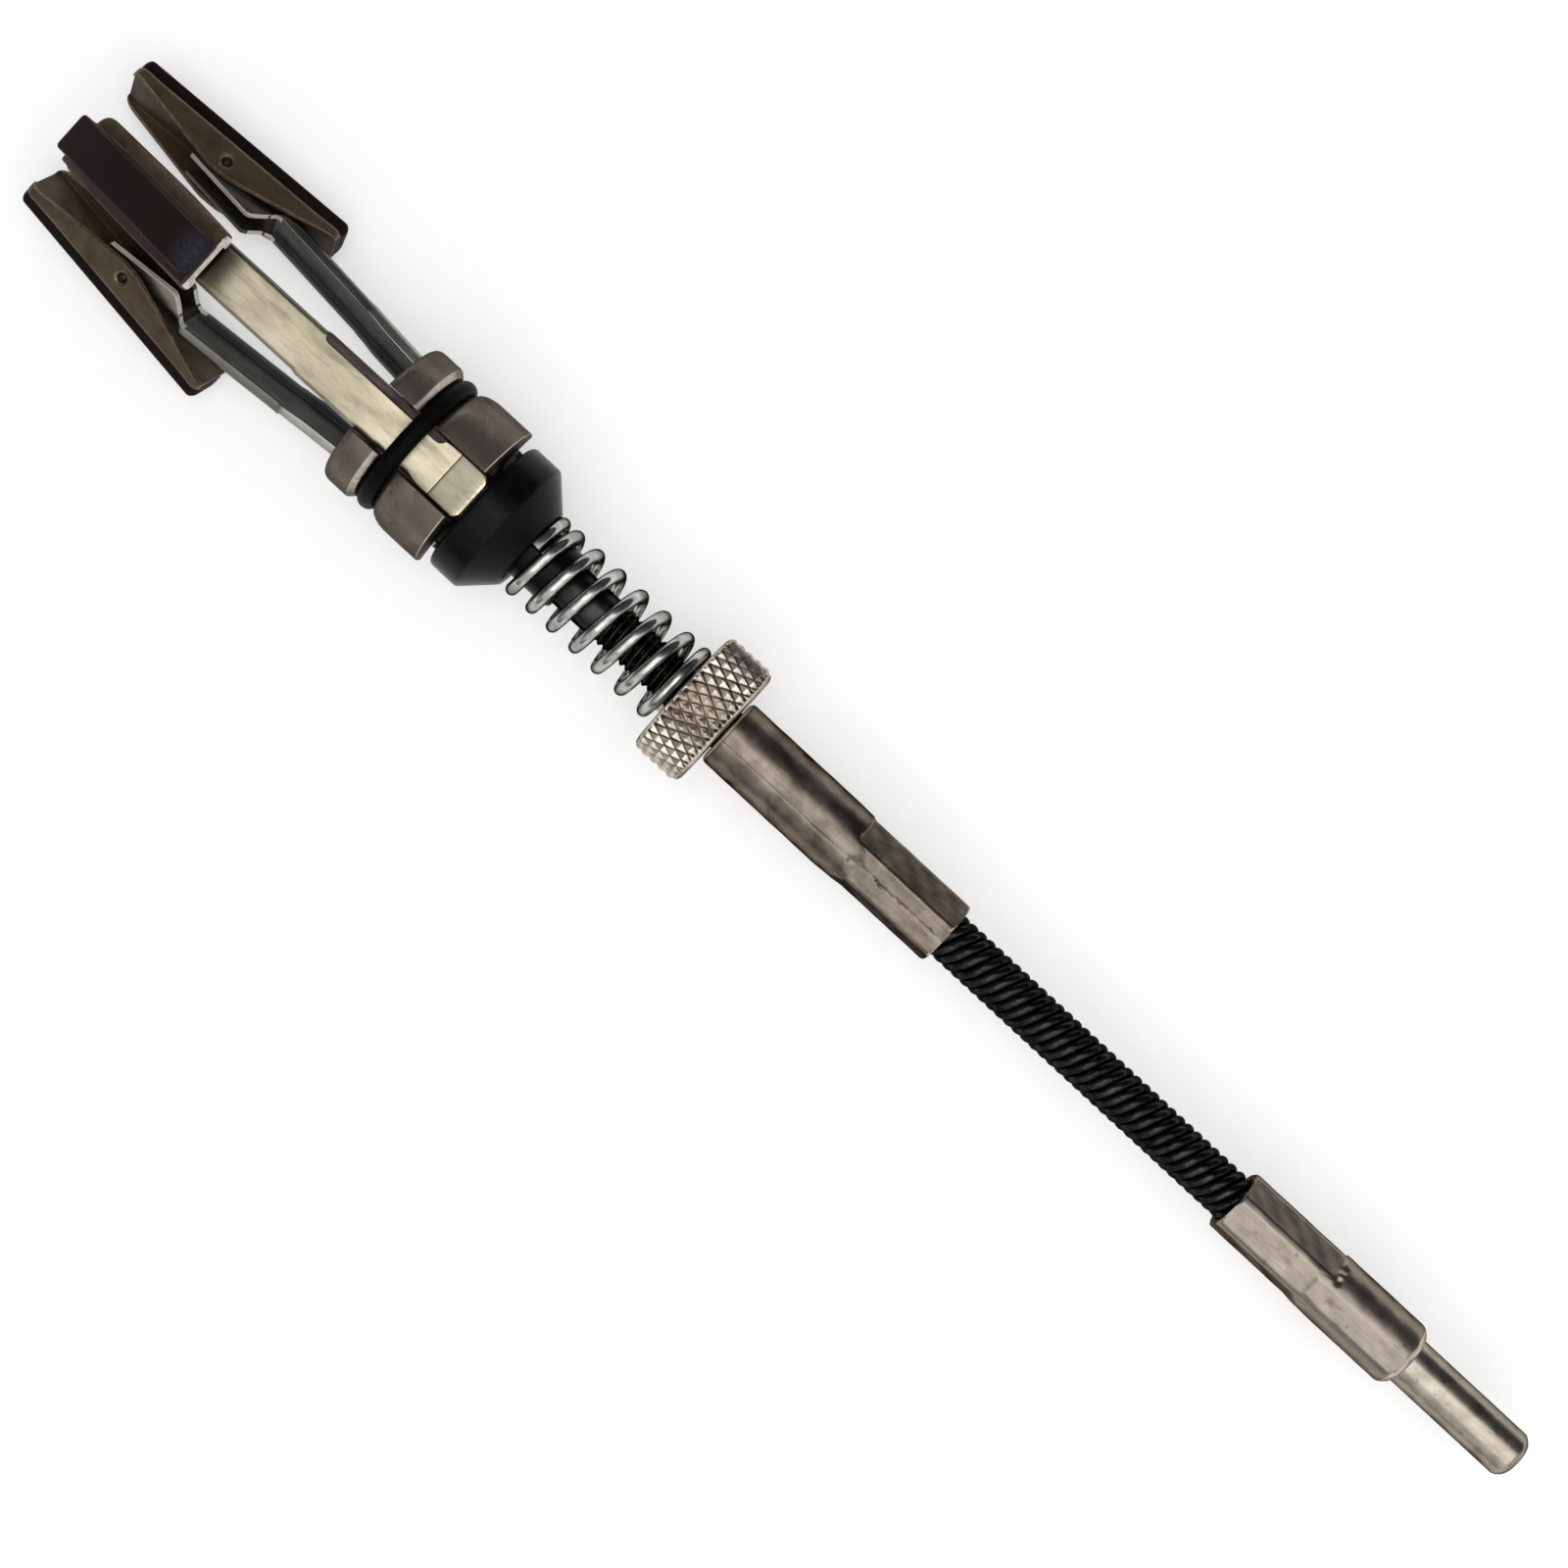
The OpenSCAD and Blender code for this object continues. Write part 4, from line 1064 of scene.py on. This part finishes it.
def makeArm(name, leg):
    matrix = atHinge(leg["direction"])
    rings = [movePoints(ring, matrix) for ring in armRings()]
    piece = loftPiece(name + "ArmBody", rings, looks["arm"])
    cutPiece(piece, armCutters(matrix))
    lobes = []
    for side in (-1, 1):
        low, high = (1.85, 2.72) if side > 0 else (-2.72, -1.85)
        lobe = prism(name + "ArmLobe", arcPoints(armSizes["lobe"], 0, 360, 40)[:-1], low, high, matrix)
        # the lobes sit in the hub's slots and get the dark green painted shade
        lobe.data.materials[0] = looks["armInnerShade"]
        lobes.append(lobe)
    bevelPiece(piece, 0.1, 55)
    paintArm(piece, matrix, looks["sheetShade"] if name == "front" else looks["armInnerShade"], leg["shadedSide"])
    body = name + "_leg"
    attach(piece, body)
    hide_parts("arm_" + name)
    for side, lobe in zip("AB", lobes):
        lobe.name = name + "ArmLobe" + side
        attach(lobe, body)


for legName, legData in legs.items():
    makeArm(legName, legData)
print("stage: arms made")

# Shoes and stones
shoeSizes = {
    "length": 31.35, "half": 4.15, "sheet": 0.8, "rise": 2.8, "earEnd": 1.2, "earDrop": 2.1,
    "corner": 1.4, "hubCorner": 1.0, "stoneLength": 31.75, "stoneHalf": 2.6, "stoneHigh": 2.3,
    "stoneEnd": 0.9, "frontShift": -0.32, "frontLonger": 0.5, "frontSmear": 0.78, "smear": 0.3,
    "boss": [(0.4, 1.55), (0.95, 1.6), (1.08, 1.8), (1.1, 3.3), (0.5, 3.3)],
    "dish": [
        (0.05, -0.62), (0.24, -0.61), (0.42, -0.54), (0.56, -0.36), (0.68, -0.17), (0.79, -0.02), (0.90, 0.05),
        (1.02, 0.06), (1.13, 0.02), (1.2, -0.05), (1.18, -0.3), (1.11, -0.5), (1.11, -0.95),
    ],
}


def shoeRings(thin):
    # thin: how much thinner the plate gets at its hub end, to clear the arm
    s = shoeSizes
    end = s["length"] / 2
    heights = [end - 0.02, end - 0.12, end - 0.3, end - 0.55, end - 0.9, end - 1.4, end - 2.2]
    heights += [end - 2.2 - (end - 4.4) * i / 8 for i in range(1, 9)] + [1.6, 1.1, 0.6, 0.2]
    rings = []
    for z in sorted(set(heights + [-h for h in heights] + [0.0])):
        near = abs(z)
        half = s["half"]
        corner = s["corner"] if z > 0 else s["hubCorner"]
        drop = near - (end - corner)
        if drop > 0:
            half -= corner - math.sqrt(max(corner ** 2 - drop ** 2, 0))
        share = min(near, end) / end
        depth = s["earEnd"] + (s["rise"] + s["earDrop"] - s["earEnd"]) * (1 - share)
        depth -= 0.3 * math.exp(-(near / 0.9) ** 2)
        sheet = s["sheet"] - (thin * max(0.0, near - end + 1.8) / 1.8 if z < 0 else 0.0)
        flat = channelRing(s["rise"], half, s["rise"] - depth, sheet, 0.95)
        rings.append([(x, y, z) for x, y in flat])
    return rings


def paintShoe(shoe, matrix, hubEnd):
    # cut edges of the sheet are worn lighter, and the front shoe's hub end is bare and bright, partly wear and
    # partly a painted highlight
    s = shoeSizes
    shoe.data.materials.append(hubEnd)
    shoe.data.materials.append(looks["shoeWornAndLit"])
    for face, centre, normal in localFaces(shoe, matrix):
        if abs(normal.z) > 0.5 and centre.z < 0.4 - s["length"] / 2:
            face.material_index = 1
        elif abs(normal.z) > 0.7 and centre.z > s["length"] / 2 - 0.3:
            face.material_index = 2
        elif normal.x < -0.6 and centre.x < s["rise"] - s["sheet"] - 0.15:
            face.material_index = 2


def stoneRings(low, high, half, length, longRound, endRound, shift):
    # longRound: the rounds along the stone; endRound: the rounds over its ends
    end, plan = length / 2, shoeSizes["stoneEnd"]
    levels = [(end - endRound + y, endRound - x) for x, y in arcPoints(endRound, 0, 90, 7)]
    full = [(-z, cut) for z, cut in reversed(levels)] + [(-6.0, 0.0), (0.0, 0.0), (6.0, 0.0)] + levels
    rings = []
    for z, cut in full:
        top = high - cut
        drop = abs(z) - (end - plan)
        wide = half - (plan - math.sqrt(max(plan ** 2 - drop ** 2, 0)) if drop > 0 else 0)
        corners = [(low, shift - wide), (top, shift - wide), (top, shift + wide), (low, shift + wide)]
        flat = roundCorners(corners, [0.05, longRound, longRound, 0.05], True, 4)
        rings.append([(x, y, z) for x, y in flat])
    return rings


def bossPiece(name, profile, side, matrix, material):
    # a small turned shape across the shoe, from (radius, y) pairs
    rings = []
    for r, y in profile:
        circle = arcPoints(r, 0, 360, 36)[:-1]
        rings.append(movePoints([(x, side * y, z) for x, z in circle], matrix))
    return loftPiece(name, rings, material)


def makeBosses(name, matrix, body):
    # each ear's pressed boss turns in the arm's hole, and is dished on the outside
    s = shoeSizes
    for label, side in (("A", 1), ("B", -1)):
        # the boss inside the ear is near black: painted shade
        boss = bossPiece(name + "Boss" + label, s["boss"], side, matrix, looks["pit"])
        profile = [(r, s["half"] + y) for r, y in s["dish"]]
        dish = bossPiece(name + "Dish" + label, profile, side, matrix, looks["shoeWornAndLit"])
        dish.data.set_sharp_from_angle(angle=math.radians(70))
        dish.data.materials.append(looks["pit"])
        dish.data.materials.append(looks["shoe"])
        # painted light on the dish: a near-black painted shade round its hollow, plain bronze in its middle and on
        # the lip's outer part towards the hub end, and the lighter bronze elsewhere on the lip as a painted
        # highlight
        for face, centre, _ in localFaces(dish, matrix):
            away = math.hypot(centre.x, centre.z)
            if away < 0.3 or (away > 0.82 and centre.z < 0.25):
                face.material_index = 2
            elif away < 0.72:
                face.material_index = 1
        for piece in (boss, dish):
            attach(piece, body)


def makeStone(name, matrix, body):
    # the front stone is longer and stands off the middle of its shoe, on a wider smear of bond
    s = shoeSizes
    low, front = s["rise"], name == "front"
    shift = s["frontShift"] if front else 0.0
    longer = s["frontLonger"] if front else 0.0
    smear = s["frontSmear"] if front else s["smear"]
    rings = stoneRings(low + 0.42, low + s["stoneHigh"], s["stoneHalf"], s["stoneLength"], 0.5, 0.95, shift)
    rings = [[(x, y, z + (longer if z > 0 else 0)) for x, y, z in ring] for ring in rings]
    stone = loftPiece(name + "StoneBody", [movePoints(ring, matrix) for ring in rings], looks["stone"])
    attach(stone, body)
    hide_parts("stone_" + name)
    rings = stoneRings(
        low - 0.02, low + 0.46, s["stoneHalf"] + smear, s["stoneLength"] - 0.15, 0.25, 0.2, shift * 2.2)
    bond = loftPiece(name + "BondBody", [movePoints(ring, matrix) for ring in rings], looks["bond"])
    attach(bond, body)


def makeShoe(name, leg):
    s = shoeSizes
    matrix = atPivot(leg["direction"], leg["tilt"])
    body = name + "_foot"
    rings = [movePoints(ring, matrix) for ring in shoeRings(leg["thin"])]
    shoe = loftPiece(name + "ShoeBody", rings, looks["shoeFrontShaded"] if name == "front" else looks["shoe"])
    through = [(1.1, s["half"] - 1.0), (1.1, s["half"] + 0.5)]
    cutPiece(shoe, [bossPiece("dimpleCutter", through, side, matrix, looks["shoe"]) for side in (-1, 1)])
    bevelPiece(shoe, 0.08, 60)
    paintShoe(shoe, matrix, looks["bareEdgeAndHighlight"] if name == "front" else looks["shoe"])
    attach(shoe, body)
    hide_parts("shoe_" + name)
    makeBosses(name, matrix, body)
    makeStone(name, matrix, body)


for legName, legData in legs.items():
    makeShoe(legName, legData)
print("stage: shoes and stones made")

# Floor behind the lying tool, seen from its front side only
floorPlace = {"y": 11.0, "size": 1500.0, "tone": 0.86, "glow": 0.43}


def makeFloor():
    material = bpy.data.materials.new("paleFloor")
    material.use_nodes = True
    tree = material.node_tree
    tree.nodes.clear()
    seen = nodeOut(tree, "Math", {
        0: nodeOut(tree, "LightPath", None, "Is Camera Ray"),
        1: nodeOut(tree, "LightPath", None, "Is Glossy Ray"),
    }, operation="MAXIMUM")
    strength = nodeOut(tree, "Math", {0: seen, 1: floorPlace["glow"]}, operation="MULTIPLY")
    tone = floorPlace["tone"]
    pale = nodeOut(tree, "AddShader", {
        0: nodeOut(tree, "BsdfDiffuse", {"Color": (tone, tone, tone, 1)}),
        1: nodeOut(tree, "Emission", {"Strength": strength}),
    })
    surface = nodeOut(tree, "MixShader", {
        0: nodeOut(tree, "NewGeometry", None, "Backfacing"), 1: pale, 2: nodeOut(tree, "BsdfTransparent"),
    })
    nodeOut(tree, "OutputMaterial", {"Surface": surface})
    y, s = floorPlace["y"] / 1000, floorPlace["size"] / 1000
    mesh = bpy.data.meshes.new("paleFloor")
    mesh.from_pydata([(-s, y, -s), (s, y, -s), (s, y, s), (-s, y, s)], [], [(0, 1, 2, 3)])
    mesh.materials.append(material)
    floor = bpy.data.objects.new("paleFloor", mesh)
    bpy.context.scene.collection.objects.link(floor)


makeFloor()

# Soft boxes that the metal reflects, bright from the left to the middle and dark on the right and above
studioLight = {
    "fill": 0.42,
    "across": [
        (0.0, (0.22, 0.21, 0.20)), (0.025, (0.42, 0.41, 0.40)), (0.06, (0.85, 0.85, 0.85)),
        (0.14, (0.98, 0.98, 0.98)), (0.67, white), (0.71, (0.66, 0.67, 0.69)), (0.755, (0.14, 0.145, 0.16)),
        (0.9, (0.06, 0.062, 0.07)), (1.0, (0.09, 0.092, 0.10)),
    ],
    "along": [
        (0.0, 0.8), (0.12, 0.9), (0.24, 1.0), (0.60, 1.0), (0.69, 0.8), (0.77, 0.45), (0.86, 0.2), (1.0, 0.10),
    ],
    "lamps": {
        "keyLamp": {"place": (-0.12, -0.88, -0.12), "size": (1.0, 1.0), "power": 3.4},
        "sparkLamp": {"place": (0.12, -0.88, 0.26), "size": (0.12, 0.12), "power": 0.22},
    },
    "target": (0, 0, 0.11),
}


def makeWorld():
    world = bpy.data.worlds.new("studio")
    bpy.context.scene.world = world
    world.use_nodes = True
    tree = world.node_tree
    tree.nodes.clear()

    def bandOut(axis, stops):
        place = nodeOut(tree, "TexCoord", None, "Generated")
        return rampOut(tree, rangeOut(tree, nodeOut(tree, "SeparateXYZ", {0: place}, axis), -1, 1), stops)

    across = bandOut("X", studioLight["across"])
    along = bandOut("Z", [(place, (bright, bright, bright)) for place, bright in studioLight["along"]])
    soft = nodeOut(tree, "Background", {"Color": mixOut(tree, 1.0, across, along), "Strength": 1.0})
    fill = nodeOut(tree, "Background", {"Color": (1, 1, 1, 1), "Strength": studioLight["fill"]})
    clear = nodeOut(tree, "Background", {"Color": (1, 1, 1, 1), "Strength": 1.0})
    glossy = nodeOut(tree, "LightPath", None, "Is Glossy Ray")
    lit = nodeOut(tree, "MixShader", {0: glossy, 1: fill, 2: soft})
    seen = nodeOut(tree, "Math", {
        0: nodeOut(tree, "LightPath", None, "Is Camera Ray"),
        1: nodeOut(tree, "LightPath", None, "Is Transmission Ray"),
    }, operation="MAXIMUM")
    nodeOut(tree, "OutputWorld", {"Surface": nodeOut(tree, "MixShader", {0: seen, 1: lit, 2: clear})})


makeWorld()

# Camera in front of the lying tool, whose axis runs from the lower right to the upper left
cameraSizes = {"side": 3.0, "distance": 400.0, "rise": 5.0, "targetZ": 110.9, "lens": 76.27, "roll": 47.25}


def makeCamera():
    c = cameraSizes
    turn, roll = math.radians(c["side"]), math.radians(c["roll"])
    right = Vector((math.cos(turn), math.sin(turn), 0))
    target = Vector((0, 0, c["targetZ"]))
    place = target - Vector((-math.sin(turn), math.cos(turn), 0)) * c["distance"] + Vector((0, 0, c["rise"]))
    forward = (target - place).normalized()
    up = right.cross(forward)
    imageRight = right * math.cos(roll) - up * math.sin(roll)
    imageUp = right * math.sin(roll) + up * math.cos(roll)
    data = bpy.data.cameras.new("mainCamera")
    data.sensor_fit = "AUTO"
    data.sensor_width = 36
    data.lens = c["lens"]
    data.clip_start = 0.01
    data.clip_end = 20
    camera = bpy.data.objects.new("mainCamera", data)
    rows = Matrix((imageRight, imageUp, -forward)).transposed().to_4x4()
    rows.translation = place / 1000
    camera.matrix_world = rows
    bpy.context.scene.collection.objects.link(camera)
    bpy.context.scene.camera = camera


def makeLamp(name, look):
    data = bpy.data.lights.new(name, "AREA")
    data.shape = "RECTANGLE"
    data.size, data.size_y = look["size"]
    data.energy = look["power"]
    lamp = bpy.data.objects.new(name, data)
    lamp.location = Vector(look["place"])
    toward = Vector(studioLight["target"]) - lamp.location
    lamp.rotation_euler = toward.to_track_quat("-Z", "Y").to_euler()
    bpy.context.scene.collection.objects.link(lamp)


makeCamera()
for lampName, lampLook in studioLight["lamps"].items():
    makeLamp(lampName, lampLook)
bpy.context.scene.view_settings.view_transform = "Standard"
print("stage: floor, light and camera made")
